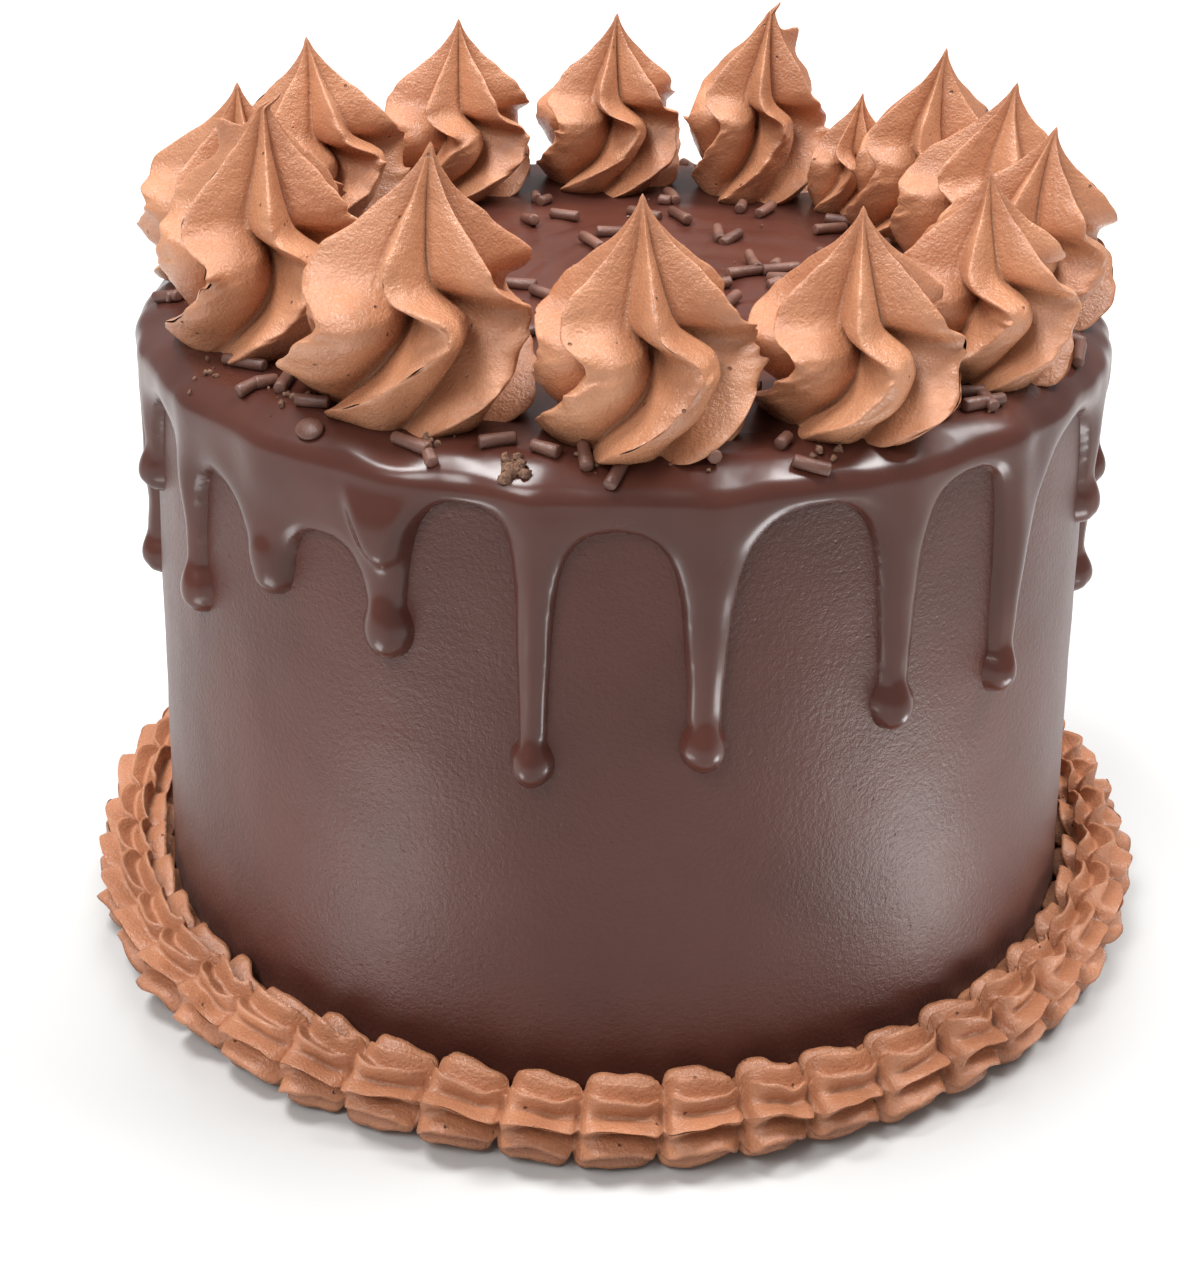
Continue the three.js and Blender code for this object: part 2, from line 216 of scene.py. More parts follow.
class FinishTree:
    """A material's nodes."""

    def __init__(self, name: str) -> None:
        """Starts a material that holds one principled shader.

        Args:
            name: The material's name.
        """
        self.material = bpy.data.materials.new(name)
        self.material.use_nodes = True
        self.nodes = self.material.node_tree.nodes
        self.links = self.material.node_tree.links
        self.shader = self.nodes["Principled BSDF"]
        self.place = Wire(self, self.nodes.new("ShaderNodeTexCoord").outputs["Object"])

    def add(self, kind: str, settings: dict, inputs: dict, output: int | str = 0) -> Wire:
        """Adds a node.

        Args:
            kind: The node's type.
            settings: Its properties, set first.
            inputs: A value or a wire for each named or numbered input.
            output: Which output is given back.

        Returns:
            The output asked for.
        """
        node = self.nodes.new(kind)
        for name, value in settings.items():
            setattr(node, name, value)
        for name, value in inputs.items():
            self.feed(node.inputs[name], value)
        return Wire(self, node.outputs[output])

    def feed(self, socket: bpy.types.NodeSocket, value: "Wire | float | tuple") -> None:
        """Links or sets an input."""
        if isinstance(value, Wire):
            self.links.new(value.socket, socket)
        else:
            socket.default_value = value

    def set(self, **inputs: "Wire | float | tuple") -> None:
        """Feeds the principled shader, with _ for a blank in each input's name."""
        for name, value in inputs.items():
            self.feed(self.shader.inputs[name.replace("_", " ")], value)

    def noise(self, grain: float, detail: float = 2.0, roughness: float = 0.5) -> Wire:
        """Noise on the piece's own coordinates, with bumps of the given size."""
        inputs = {"Vector": self.place, "Scale": 1 / grain, "Detail": detail, "Roughness": roughness}
        return self.add("ShaderNodeTexNoise", {}, inputs, "Fac")

    def pits(self, spacing: float) -> Wire:
        """Distance to scattered points, one in each cell of the given size."""
        inputs = {"Vector": self.place, "Scale": 1 / spacing}
        return self.add("ShaderNodeTexVoronoi", {}, inputs, "Distance")

    def reach(self) -> Wire:
        """Distance from the upright axis."""
        level = self.add("ShaderNodeVectorMath", {"operation": "MULTIPLY"}, {0: self.place, 1: (1, 1, 0)})
        return self.add("ShaderNodeVectorMath", {"operation": "LENGTH"}, {0: level}, "Value")

    def blend(self, share: Wire, first: "Wire | tuple", second: "Wire | tuple") -> Wire:
        """Mixes two colours by a share."""
        node = self.nodes.new("ShaderNodeMix")
        node.data_type = "RGBA"
        for socket, value in zip((node.inputs[0], node.inputs[6], node.inputs[7]), (share, first, second)):
            self.feed(socket, value)
        return Wire(self, node.outputs[2])

    def bump(self, height: Wire, depth: float) -> Wire:
        """Turns a height into a bumped normal."""
        return self.add("ShaderNodeBump", {}, {"Height": height, "Distance": depth}, "Normal")


def brown(red: float, green: float, blue: float) -> tuple[float, float, float, float]:
    """A linear colour with full alpha."""
    return (red, green, blue, 1.0)


@dataclass(frozen=True)
class FrostingFinish:
    """Smoothed chocolate buttercream: satin, with a very fine grain."""

    slot: str = "frosting"
    light: tuple = brown(0.088, 0.027, 0.0185)
    dark: tuple = brown(0.068, 0.0195, 0.013)

    def material(self) -> bpy.types.Material:
        """Makes the material."""
        tree = FinishTree(self.slot)
        cloud = tree.noise(30 * MM, 3.0)
        pebbles = tree.noise(0.8 * MM, 3.0, 0.6)
        grain = tree.noise(0.3 * MM, 2.0, 0.6)
        smear = tree.noise(14 * MM, 2.0)
        pinholes = 1 - tree.pits(3.2 * MM).rise(0.0, 0.12)
        tree.set(
            Base_Color=tree.blend(cloud.rise(0.3, 0.7), self.dark, self.light),
            Roughness=0.33 + 0.12 * pebbles,
            Normal=tree.bump(pebbles * 0.75 + grain * 0.35 + smear * 0.7 - pinholes * 0.4, 0.2 * MM),
        )
        tree.shader.inputs["Specular IOR Level"].default_value = 0.38
        tree.shader.inputs["Sheen Weight"].default_value = 0.03
        tree.shader.inputs["Sheen Roughness"].default_value = 0.4
        return tree.material


@dataclass(frozen=True)
class GanacheFinish:
    """Set dark chocolate ganache: glossy on the rim and the drips, duller where a knife smoothed the top, and darkened
    by painted shade among the swirls.
    """

    slot: str = "ganache"
    light: tuple = brown(0.104, 0.033, 0.022)
    dark: tuple = brown(0.044, 0.0115, 0.008)
    # Near-black brown for the painted shade among the swirls.
    painted_shade: tuple = brown(0.018, 0.005, 0.004)
    pool_edge: float = 60 * MM

    def material(self) -> bpy.types.Material:
        """Makes the material."""
        tree = FinishTree(self.slot)
        cloud = tree.noise(22 * MM, 2.0)
        dull = tree.noise(14 * MM, 2.0)
        ripple = tree.noise(6 * MM, 2.0, 0.4)
        reach = tree.reach()
        on_pool = 1 - reach.rise(self.pool_edge, self.pool_edge + 8 * MM)
        # Painted shade: the ganache in a ring among the swirls' feet is blended 55% towards a near-black brown,
        # standing in for the shade the swirls cast between them.
        shade_among_swirls = reach.rise(40 * MM, 50 * MM) * (1 - reach.rise(64 * MM, 74 * MM))
        shade = tree.blend(cloud, self.dark, self.light)
        tree.set(
            Base_Color=tree.blend(shade_among_swirls * 0.55, shade, self.painted_shade),
            Roughness=0.19 + 0.12 * dull + on_pool * 0.08,
            Normal=tree.bump(ripple, 0.12 * MM),
        )
        tree.shader.inputs["Specular IOR Level"].default_value = 0.42
        return tree.material


@dataclass(frozen=True)
class PipingFinish:
    """Piped chocolate buttercream: satin, faintly grainy, with small air holes darkened by painted shade."""

    slot: str
    light: tuple
    dark: tuple

    def material(self) -> bpy.types.Material:
        """Makes the material."""
        tree = FinishTree(self.slot)
        cloud = tree.noise(12 * MM, 3.0)
        grain = tree.noise(0.45 * MM, 3.0, 0.6)
        drag = tree.noise(1.6 * MM, 2.0, 0.5)
        holes = 1 - tree.pits(4.2 * MM).rise(0.02, 0.085)
        shade = tree.blend(cloud.rise(0.25, 0.75), self.dark, self.light)
        # Painted shade: the air holes are darkened to about a third of the dark tone, as shade inside the pits; the
        # pits themselves are a bump.
        painted_hole_shade = tuple(0.35 * part for part in self.dark[:3]) + (1.0,)
        tree.set(
            Base_Color=tree.blend(holes * 0.8, shade, painted_hole_shade),
            Roughness=0.17 + 0.18 * grain,
            Normal=tree.bump(grain * 0.85 + drag * 0.8 - holes * 1.6, 0.25 * MM),
        )
        tree.shader.inputs["Specular IOR Level"].default_value = 0.5
        tree.shader.inputs["Subsurface Weight"].default_value = 0.06
        tree.shader.inputs["Subsurface Radius"].default_value = (1.0, 0.45, 0.25)
        tree.shader.inputs["Subsurface Scale"].default_value = 1.5 * MM
        return tree.material


@dataclass(frozen=True)
class SprinkleFinish:
    """Waxy dark chocolate rods with pale broken ends."""

    slot: str = "sprinkle"
    light: tuple = brown(0.19, 0.088, 0.062)
    dark: tuple = brown(0.10, 0.042, 0.030)

    def material(self) -> bpy.types.Material:
        """Makes the material."""
        tree = FinishTree(self.slot)
        cloud = tree.noise(6 * MM, 2.0)
        grain = tree.noise(0.4 * MM, 2.0, 0.6)
        tree.set(
            Base_Color=tree.blend(cloud.rise(0.3, 0.7), self.dark, self.light),
            Roughness=0.34 + 0.2 * grain,
            Normal=tree.bump(grain, 0.10 * MM),
        )
        return tree.material


@dataclass(frozen=True)
class CrumbFinish:
    """Rough tan crumb of broken sprinkles."""

    slot: str = "sprinkle"
    light: tuple = brown(0.28, 0.15, 0.09)
    dark: tuple = brown(0.10, 0.045, 0.03)

    def material(self) -> bpy.types.Material:
        """Makes the material."""
        tree = FinishTree("crumb")
        grain = tree.noise(0.5 * MM, 3.0, 0.7)
        tree.set(
            Base_Color=tree.blend(grain.rise(0.35, 0.65), self.dark, self.light),
            Roughness=0.75 + 0.1 * grain,
            Normal=tree.bump(grain, 0.4 * MM),
        )
        return tree.material


# ---------------------------------------------------------------- making meshes

def spun(line: list[tuple[float, float]], sides: int) -> bmesh.types.BMesh:
    """Spins an open line once about +Z.

    Args:
        line: Radius and height of each point.
        sides: Steps in the turn.

    Returns:
        The spun surface.
    """
    bm = bmesh.new()
    verts = [bm.verts.new((radius, 0, height)) for radius, height in line]
    edges = [bm.edges.new(pair) for pair in zip(verts, verts[1:])]
    bmesh.ops.spin(
        bm, geom=verts + edges, cent=(0, 0, 0), axis=(0, 0, 1), dvec=(0, 0, 0),
        angle=TURN, steps=sides, use_merge=True, use_normal_flip=False, use_duplicate=False,
    )
    return bm


def rolled(rows: int, sides: int) -> tuple[bmesh.types.BMesh, np.ndarray, np.ndarray]:
    """Makes a flat grid whose two ends are to meet once it is bent round, ready to be reshaped.

    Args:
        rows: Rows of faces.
        sides: Faces round the shape.

    Returns:
        The grid, the angle of each vertex and its row as a share of the whole.
    """
    bm = bmesh.new()
    bmesh.ops.create_grid(bm, x_segments=sides, y_segments=rows, size=1.0)
    points = places(bm)
    angle = np.rint((points[:, 0] + 1) / 2 * sides) / sides * TURN
    return bm, angle, np.rint((points[:, 1] + 1) / 2 * rows) / rows


def places(bm: bmesh.types.BMesh) -> np.ndarray:
    """The coordinates of all vertices, one row each."""
    return np.array([vert.co[:] for vert in bm.verts])


def put(bm: bmesh.types.BMesh, points: np.ndarray) -> None:
    """Moves all vertices to the rows of points."""
    for vert, point in zip(bm.verts, points.tolist()):
        vert.co = point


def polar(radius: np.ndarray, angle: np.ndarray, z: np.ndarray) -> np.ndarray:
    """Rows of coordinates from radii, angles and heights."""
    return np.stack([radius * np.cos(angle), radius * np.sin(angle), z], -1)


def add_piece(
    name: str, bm: bmesh.types.BMesh, finish: object, nodes: tuple[str, ...] = (), second: object = None,
) -> bpy.types.Object:
    """Turns a finished surface into a piece of the cake.

    Args:
        name: The piece's name.
        bm: Its surface, which is used up.
        finish: The finish that dresses it.
        nodes: The solids that it stands for.
        second: A finish for the faces with material index 1.

    Returns:
        The new object.
    """
    bmesh.ops.remove_doubles(bm, verts=bm.verts, dist=WELD)
    bmesh.ops.recalc_face_normals(bm, faces=bm.faces)
    for face in bm.faces:
        face.smooth = True
    mesh = bpy.data.meshes.new(name)
    bm.to_mesh(mesh)
    bm.free()
    mesh.materials.append(finish_material(finish))
    if second:
        mesh.materials.append(finish_material(second))
    piece = bpy.data.objects.new(name, mesh)
    bpy.context.scene.collection.objects.link(piece)
    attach(piece, ROOT)
    if nodes:
        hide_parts(*nodes)
    log.info("%s: %d faces", name, len(mesh.polygons))
    return piece


MATERIALS: dict[object, bpy.types.Material] = {}


def finish_material(finish: object) -> bpy.types.Material:
    """The material of a finish, made once."""
    if finish not in MATERIALS:
        MATERIALS[finish] = finish.material()
    return MATERIALS[finish]


# ---------------------------------------------------------------- frosted body

@dataclass
class FrostedBody:
    """The frosted cake under the ganache: an upright side that narrows a little to the top."""

    sides: int = 240
    rows: int = 44
    unevenness: float = 0.16 * MM
    finish: FrostingFinish = field(default_factory=FrostingFinish)

    def build(self) -> bpy.types.Object:
        """Spins the body's outline and makes its side faintly uneven."""
        top = SIZES.height
        edge = SIZES.edge_round
        shoulder = float(SIZES.wall(top - edge))
        side = [(float(SIZES.wall(z)), z) for z in np.linspace(0, top - edge, self.rows)]
        line = [(0, 0), (0.6 * SIZES.foot_radius, 0), *side]
        line += [(shoulder - 0.3 * edge, top - 0.3 * edge), (shoulder - edge, top), (0, top)]
        bm = spun(line, self.sides)
        points = places(bm)
        radius = np.hypot(points[:, 0], points[:, 1])
        broad = Unevenness(38 * MM, 3).at(points)
        fine = Unevenness(11 * MM, 4).at(points)
        inward = self.unevenness * (0.7 * broad + 0.3 * fine - 1)
        on_side = (radius > 0.9 * SIZES.top_radius) & (points[:, 2] > 0) & (points[:, 2] < top - edge)
        share = np.where(on_side, 1 + inward / np.maximum(radius, MM), 1)
        points[:, 0] *= share
        points[:, 1] *= share
        put(bm, points)
        return add_piece("frosted_body", bm, self.finish, ("cake_body",))


# ---------------------------------------------------------------- ganache

@dataclass(frozen=True)
class Drip:
    """A drip down the side.

    Args:
        at: Azimuth in degrees.
        end: Height of its lower end.
        neck: Width of the neck.
        bead: Width of the bead at its end.
        arch: Height of the top of the arch between this drip and the next.
        peak: Where that top is, from -1 at this drip to 1 at the next.
    """

    at: float
    end: float
    neck: float
    bead: float
    arch: float
    peak: float = 0.0


def front_drips() -> list[Drip]:
    """The drips on the side that faces the viewer, in order round the cake."""
    return [
        Drip(189, 60.2 * MM, 3.8 * MM, 5.6 * MM, 99 * MM),
        Drip(197, 79.8 * MM, 4.2 * MM, 6.0 * MM, 98.0 * MM),
        Drip(214, 68.9 * MM, 4.0 * MM, 6.8 * MM, 93.8 * MM, -0.3),
        Drip(229.4, 79.6 * MM, 7.2 * MM, 7.4 * MM, 91.9 * MM, -0.1),
        Drip(244.8, 75.4 * MM, 5.0 * MM, 7.6 * MM, 100.9 * MM, 0.1),
        Drip(260.8, 58.8 * MM, 4.0 * MM, 6.2 * MM, 98.2 * MM, -0.05),
        Drip(278.7, 61.6 * MM, 4.4 * MM, 6.6 * MM, 100.6 * MM, 0.05),
        Drip(300.5, 63.4 * MM, 4.0 * MM, 6.6 * MM, 100.6 * MM, 0.2),
        Drip(316.7, 62.4 * MM, 3.6 * MM, 6.0 * MM, 99.8 * MM, 0.25),
        Drip(342, 77.0 * MM, 4.2 * MM, 6.2 * MM, 98.5 * MM),
        Drip(348.6, 79.4 * MM, 4.0 * MM, 5.8 * MM, 95.0 * MM),
        Drip(354.8, 56.6 * MM, 4.0 * MM, 5.8 * MM, 99.2 * MM),
    ]


DRIP_BLEND = 0.6 * MM
BEAD_LENGTH = 1.25
NECK_TAPER = 0.14
NECK_RUN = 20 * MM


def repeatable(seed: int) -> "callable":
    """A repeatable random number source, one number from 0 to 1 a call."""
    state = [seed]

    def draw() -> float:
        """The next number."""
        state[0] = state[0] * 48271 % 2147483647
        return state[0] / 2147483647

    return draw


@dataclass(frozen=True)
class Gap:
    """The bare side between two drips, under an arch.

    Args:
        left: The drip before it.
        right: The drip after it.
    """

    left: Drip
    right: Drip

    @property
    def start(self) -> float:
        """Where the left drip's middle is, along the unrolled side."""
        return math.radians(self.left.at) * SIZES.top_radius

    @property
    def span(self) -> float:
        """Distance between the two drips' middles."""
        return math.radians((self.right.at - self.left.at) % 360) * SIZES.top_radius

    def falls(self) -> tuple[float, float]:
        """Distance from the arch's top to the left neck and to the right one."""
        half = (self.span - self.left.neck / 2 - self.right.neck / 2) / 2
        return half * (1 + self.left.peak), half * (1 - self.left.peak)

    def widths(self, z: np.ndarray) -> list[np.ndarray]:
        """Half widths of the left drip and the right drip on the gap's side.

        Args:
            z: Heights.

        Returns:
            The left drip's and the right drip's, one number a height each.
        """
        found = []
        for drip, fall in zip((self.left, self.right), self.falls()):
            long = BEAD_LENGTH * drip.bead / 2
            low = drip.end + long
            bead = drip.bead / 2 * np.sqrt(np.maximum(1 - ((z - low) / long) ** 2, 0))
            under = np.maximum(self.left.arch - z, 0) / fall
            funnel = fall * (1 - np.sqrt(1 - 1 / (1 + under) ** 2))
            neck = drip.neck / 2 * (1 - NECK_TAPER * smoothstep(low + NECK_RUN, low + 0.6 * long, z))
            neck = neck + funnel - 1.5 * np.maximum(low - z, 0)
            share = np.clip(0.5 + 0.5 * (neck - bead) / DRIP_BLEND, 0, 1)
            found.append(bead + (neck - bead) * share + DRIP_BLEND * share * (1 - share))
        return found

    def outline(self) -> np.ndarray:
        """Close points along the gap's edge, as rows of distance along the side and height."""
        points = []
        for side, (drip, fall) in enumerate(zip((self.left, self.right), self.falls())):
            v = np.linspace(0, 0.9, 90)
            round_end = drip.end + BEAD_LENGTH * drip.bead / 2 * (1 - np.cos(np.linspace(0, math.pi / 2, 40)))
            near_top = self.left.arch - fall * (1 / np.sqrt(1 - v * v) - 1)
            z = np.concatenate([np.linspace(drip.end, self.left.arch, 500), near_top, round_end])
            width = self.widths(z)[side]
            along = self.start + (width if side == 0 else self.span - width)
            points.append(np.stack([along, z], -1))
        return np.concatenate(points)




def softened(values: np.ndarray, passes: int) -> np.ndarray:
    """Averages each place of a grid that closes on itself sideways with its neighbours.

    Args:
        values: Rows and columns of numbers.
        passes: How often.

    Returns:
        The smoothed grid.
    """
    for _ in range(passes):
        padded = np.pad(values, ((1, 1), (0, 0)), mode="edge")
        values = 0.25 * padded[:-2] + 0.5 * padded[1:-1] + 0.25 * padded[2:]
        values = 0.25 * np.roll(values, 1, axis=1) + 0.5 * values + 0.25 * np.roll(values, -1, axis=1)
    return values


@dataclass
class GanacheCoat:
    """The poured ganache: a pool on top, a broad round rim and half-round drips down the side."""

    columns: int = 1008
    pool_columns: int = 252
    pool_rows: int = 56
    flat_rows: int = 18
    arc_rows: int = 9
    side_rows: int = 86
    rim_height: float = 3.8 * MM
    rim_width: float = 4.3 * MM
    rim_start: float = 0.62
    rim_drop: float = 2.2 * MM
    bevel_start: float = 0.62
    thickness: float = 2.3 * MM
    shoulder: float = 3.6 * MM
    bead_rise: float = 1.25 * MM
    stream: float = 0.6 * MM
    lowest: float = 55 * MM
    lobe_at: float = 245.4
    lobe_end: float = 90.5 * MM
    lobe_spread: float = 4.4 * MM
    lobe_rise: float = 1.7 * MM
    seam_radius: float = 62 * MM
    back_count: int = 10
    finish: GanacheFinish = field(default_factory=GanacheFinish)

    def drips(self) -> list[Drip]:
        """All drips, in order of azimuth."""
        draw = repeatable(11)
        found = front_drips()
        for i in range(self.back_count):
            neck = 4.4 + 1.6 * draw()
            at = 10 + 16.4 * (i + 0.35 * draw())
            end = 57 + 25 * draw()
            bead = neck + 1 + draw()
            arch = 97.5 + 0.6 * (14 + 6 * draw() - 14)
            found.append(Drip(at, end * MM, neck * MM, bead * MM, arch * MM))
        return sorted(found, key=lambda drip: drip.at)

    @property
    def arc_low(self) -> float:
        """Height where the rim's round ends and the side starts."""
        return SIZES.ganache_top - self.rim_drop - self.rim_height * math.cos(self.rim_start)

    def side_grid(self, drips: list[Drip]) -> tuple[np.ndarray, np.ndarray, np.ndarray]:
        """Places on the side, those next to the edge of the poured shape moved onto it.

        Args:
            drips: The drips in order.

        Returns:
            Azimuth, height and distance inside the edge, one a row and column.
        """
        scale = SIZES.top_radius
        far = TURN * scale
        turns = np.arange(self.columns) / self.columns * TURN
        heights = np.linspace(self.arc_low, self.lowest, self.side_rows + 1)
        inside = np.zeros((len(heights), len(turns)), bool)
        outlines = []
        for left, right in zip(drips, drips[1:] + drips[:1]):
            gap = Gap(left, right)
            along = (turns * scale - gap.start) % far
            here = np.nonzero(along < gap.span)[0]
            from_left, from_right = gap.widths(heights)
            covered = along[here][None, :] < from_left[:, None]
            covered |= gap.span - along[here][None, :] < from_right[:, None]
            inside[:, here] = covered | (heights[:, None] > left.arch)
            outlines.append(gap.outline())
        found = np.concatenate(outlines)
        wrapped = np.concatenate([found, found + (far, 0), found - (far, 0)])
        near = wrapped[(wrapped[:, 0] > -0.05 * far) & (wrapped[:, 0] < 1.05 * far)]
        tree = KDTree(len(near))
        for index, (along, height) in enumerate(near.tolist()):
            tree.insert((along, height, 0), index)
        tree.balance()
        angle, z = np.meshgrid(turns, heights)
        depth = np.zeros(angle.shape)
        snap = 0.45 * far / self.columns
        for row in range(len(heights)):
            for column, (turn, height) in enumerate(zip(turns.tolist(), z[row].tolist())):
                spot, _, apart = tree.find((turn * scale, height, 0))
                if apart < snap and row > 0:
                    angle[row, column] = spot.x / scale
                    z[row, column] = spot.y
                else:
                    depth[row, column] = apart if inside[row, column] else -apart
        return angle, z, depth

    def side_thickness(self, angle: np.ndarray, z: np.ndarray, depth: np.ndarray, drips: list[Drip]) -> np.ndarray:
        """Thickness of the ganache on the side, less than 0 where the side is bare.

        Args:
            angle: Azimuths.
            z: Heights.
            depth: Distances inside the edge.
            drips: The drips in order.

        Returns:
            One thickness a row and column.
        """
        scale = SIZES.top_radius
        far = TURN * scale
        share = np.clip(depth / self.shoulder, 0, 1)
        full = np.full(depth.shape, self.thickness)
        beads = np.zeros(depth.shape)
        for drip in drips:
            across = (angle * scale - math.radians(drip.at) * scale + far / 2) % far - far / 2
            stream = np.exp(-((across / (0.85 * drip.neck)) ** 2))
            full += self.stream * stream * smoothstep(drip.end, drip.arch, z)
            low = drip.end + 0.5 * BEAD_LENGTH * drip.bead
            out = np.hypot(across, (z - low) / BEAD_LENGTH) / (0.56 * drip.bead)
            beads = np.maximum(beads, self.bead_rise * np.clip(1 - out**2, 0, 1) ** 0.75)
        lumps = Unevenness(11 * MM, 26).at(polar(np.full(z.size, scale), angle.ravel(), z.ravel()))
        full += 0.16 * MM * lumps.reshape(z.shape)
        thick = full * np.sqrt(1 - (1 - share) ** 2) + beads * smoothstep(0, 1.2 * MM, depth)
        thick += self.lobe(angle, z) * smoothstep(0, 1.5 * MM, depth)
        inner = smoothstep(0.5 * MM, 1.4 * MM, depth)
        thick = thick + (softened(thick, 4) - thick) * inner
        return np.maximum(np.where(depth < 0, 2.4 * depth, thick), -1.2 * MM)

    def lobe(self, angle: np.ndarray, z: np.ndarray) -> np.ndarray:
        """Rise of the second pour that ends half way down the drip at the front left.

        Args:
            angle: Azimuths.
            z: Heights.

        Returns:
            One height above the first pour a row and column.
        """
        across = (angle - math.radians(self.lobe_at)) * SIZES.top_radius
        slope = 2 * across / self.lobe_spread
        inside = (z - self.lobe_end - across**2 / self.lobe_spread) / np.sqrt(1 + slope**2)
        share = np.clip(inside / (1.3 * MM), 0, 1)
        near_rim = smoothstep(self.lobe_end + 5 * MM, self.arc_low, z)
        return self.lobe_rise * np.sqrt(1 - (1 - share) ** 2) * (1 - near_rim)

    def pool(self) -> bmesh.types.BMesh:
        """The flat top inside the rim, with the arcs that a turned palette knife leaves."""
        bm, angle, row = rolled(self.pool_rows, self.pool_columns)
        radius = np.maximum(row, 0.004) * self.seam_radius
        z = SIZES.ganache_top + self.knife_marks(radius, angle)
        put(bm, polar(radius, angle, z))
        return bm

    def knife_marks(self, radius: np.ndarray, angle: np.ndarray) -> np.ndarray:
        """Relief of the top: a slow spiral of shallow arcs that fades to the rim.

        Args:
            radius: Distance of each place from the axis.
            angle: Its azimuth.

        Returns:
            Its height above the flat.
        """
        x = radius * np.cos(angle) - 17 * MM
        y = radius * np.sin(angle) + 2 * MM
        out = np.hypot(x, y)
        turns = out / (7.5 * MM) - np.arctan2(y, x) / TURN
        arcs = np.abs(np.sin(math.pi * turns))
        places_xy = np.stack([x, y], -1)
        patch = smoothstep(-0.4, 0.7, Unevenness(30 * MM, 21).at(places_xy))
        fade = 1 - smoothstep(34 * MM, 52 * MM, radius)
        swell = Unevenness(24 * MM, 22).at(places_xy) * 0.12 * MM * (1 - smoothstep(50 * MM, 60 * MM, radius))
        return 0.75 * MM * arcs * fade * (0.35 + 0.65 * patch) + swell

    def rim_and_side(self, drips: list[Drip]) -> tuple[bmesh.types.BMesh, np.ndarray]:
        """The rounded rim and the side, with what lies outside the drips still on it.

        Args:
            drips: The drips in order.

        Returns:
            The surface and each vertex's distance inside the edge.
        """
        rows = self.flat_rows + self.arc_rows + self.side_rows
        bm, angle, share = rolled(rows, self.columns)
        row = np.rint(share * rows).astype(int)
        column = np.rint((angle % TURN) / TURN * self.columns).astype(int) % self.columns
        side_angle, side_z, depth = self.side_grid(drips)
        thick = self.side_thickness(side_angle, side_z, depth, drips)
        rim = SIZES.wall(self.arc_low) + softened(thick[:1], 6)[0]
        flat_end = rim - self.rim_width * (1 - math.sin(self.rim_start))
        radius = np.empty(len(row))
        z = np.empty(len(row))
        inside = np.full(len(row), 1.0)
        on_flat = row <= self.flat_rows
        along = row[on_flat] / self.flat_rows
        radius[on_flat] = self.seam_radius + (flat_end[column[on_flat]] - self.seam_radius) * along
        z[on_flat] = SIZES.ganache_top - self.rim_drop * self.bevel(along)
        on_arc = (row > self.flat_rows) & (row < self.flat_rows + self.arc_rows)
        past = (row[on_arc] - self.flat_rows) / self.arc_rows
        bend = self.rim_start + past * (math.pi / 2 - self.rim_start)
        radius[on_arc] = rim[column[on_arc]] - self.rim_width * (1 - np.sin(bend))
        z[on_arc] = self.arc_low + self.rim_height * np.cos(bend)
        on_side = row >= self.flat_rows + self.arc_rows
        level = row[on_side] - self.flat_rows - self.arc_rows
        place = (level, column[on_side])
        z[on_side] = side_z[place]
        angle[on_side] = side_angle[place]
        radius[on_side] = SIZES.wall(z[on_side]) + thick[place]
        inside[on_side] = depth[place]
        crest = np.exp(-(((radius - flat_end[column] + 1.0 * MM) / (3.6 * MM)) ** 2))
        lumpy = Unevenness(13 * MM, 24).at(polar(radius, angle, z))
        z = z + np.where(on_side, 0, 0.26 * MM * lumpy * crest * smoothstep(0, 2 * MM, z - self.arc_low))
        put(bm, polar(radius, angle, z))
        return bm, inside

    def bevel(self, along: np.ndarray) -> np.ndarray:
        """Share of the rim's drop on the way from the pool to the round, flat first and then sloping evenly."""
        past = np.maximum(along - self.bevel_start, 0) / (1 - self.bevel_start)
        return past**2 * (3 - past) / 2

    def build(self) -> BVHTree:
        """Joins pool, rim and drips and cuts away what lies bare.

        Returns:
            The surface, for what is strewn on it.
        """
        drips = self.drips()
        bm, inside = self.rim_and_side(drips)
        for vert, depth in zip(bm.verts, inside.tolist()):
            vert.tag = depth > -0.55 * MM
        bare = [face for face in bm.faces if not any(vert.tag for vert in face.verts)]
        bmesh.ops.delete(bm, geom=bare, context="FACES")
        pool = self.pool()
        spare = bpy.data.meshes.new("pool")
        pool.to_mesh(spare)
        pool.free()
        bm.from_mesh(spare)
        bpy.data.meshes.remove(spare)
        bmesh.ops.remove_doubles(bm, verts=self.seam(bm, False), dist=0.02 * MM)
        bmesh.ops.holes_fill(bm, edges=self.seam(bm, True), sides=6)
        bmesh.ops.remove_doubles(bm, verts=bm.verts, dist=WELD)
        bmesh.ops.recalc_face_normals(bm, faces=bm.faces)
        ground = BVHTree.FromBMesh(bm)
        add_piece("ganache_coat", bm, self.finish, ("ganache",))
        return ground

    def seam(self, bm: bmesh.types.BMesh, as_edges: bool) -> list:
        """The open edges, or their vertices, where pool and rim meet."""
        low = 0.97 * self.seam_radius
        high = 1.02 * self.seam_radius
        edges = [edge for edge in bm.edges if edge.is_boundary and low < edge.verts[0].co.xy.length < high]
        return edges if as_edges else list({vert for edge in edges for vert in edge.verts})


# ---------------------------------------------------------------- swirls

@dataclass(frozen=True)
class Level:
    """One level of a swirl.

    Args:
        up: Share of the height.
        out: Share of the widest radius.
        turn: Turn of the ridges in degrees.
        groove: Depth of the grooves as a share of the radius.
        fold: 0 where the grooves are even flutes, 1 where the ridges lie over as folds.
    """

    up: float
    out: float
    turn: float
    groove: float
    fold: float


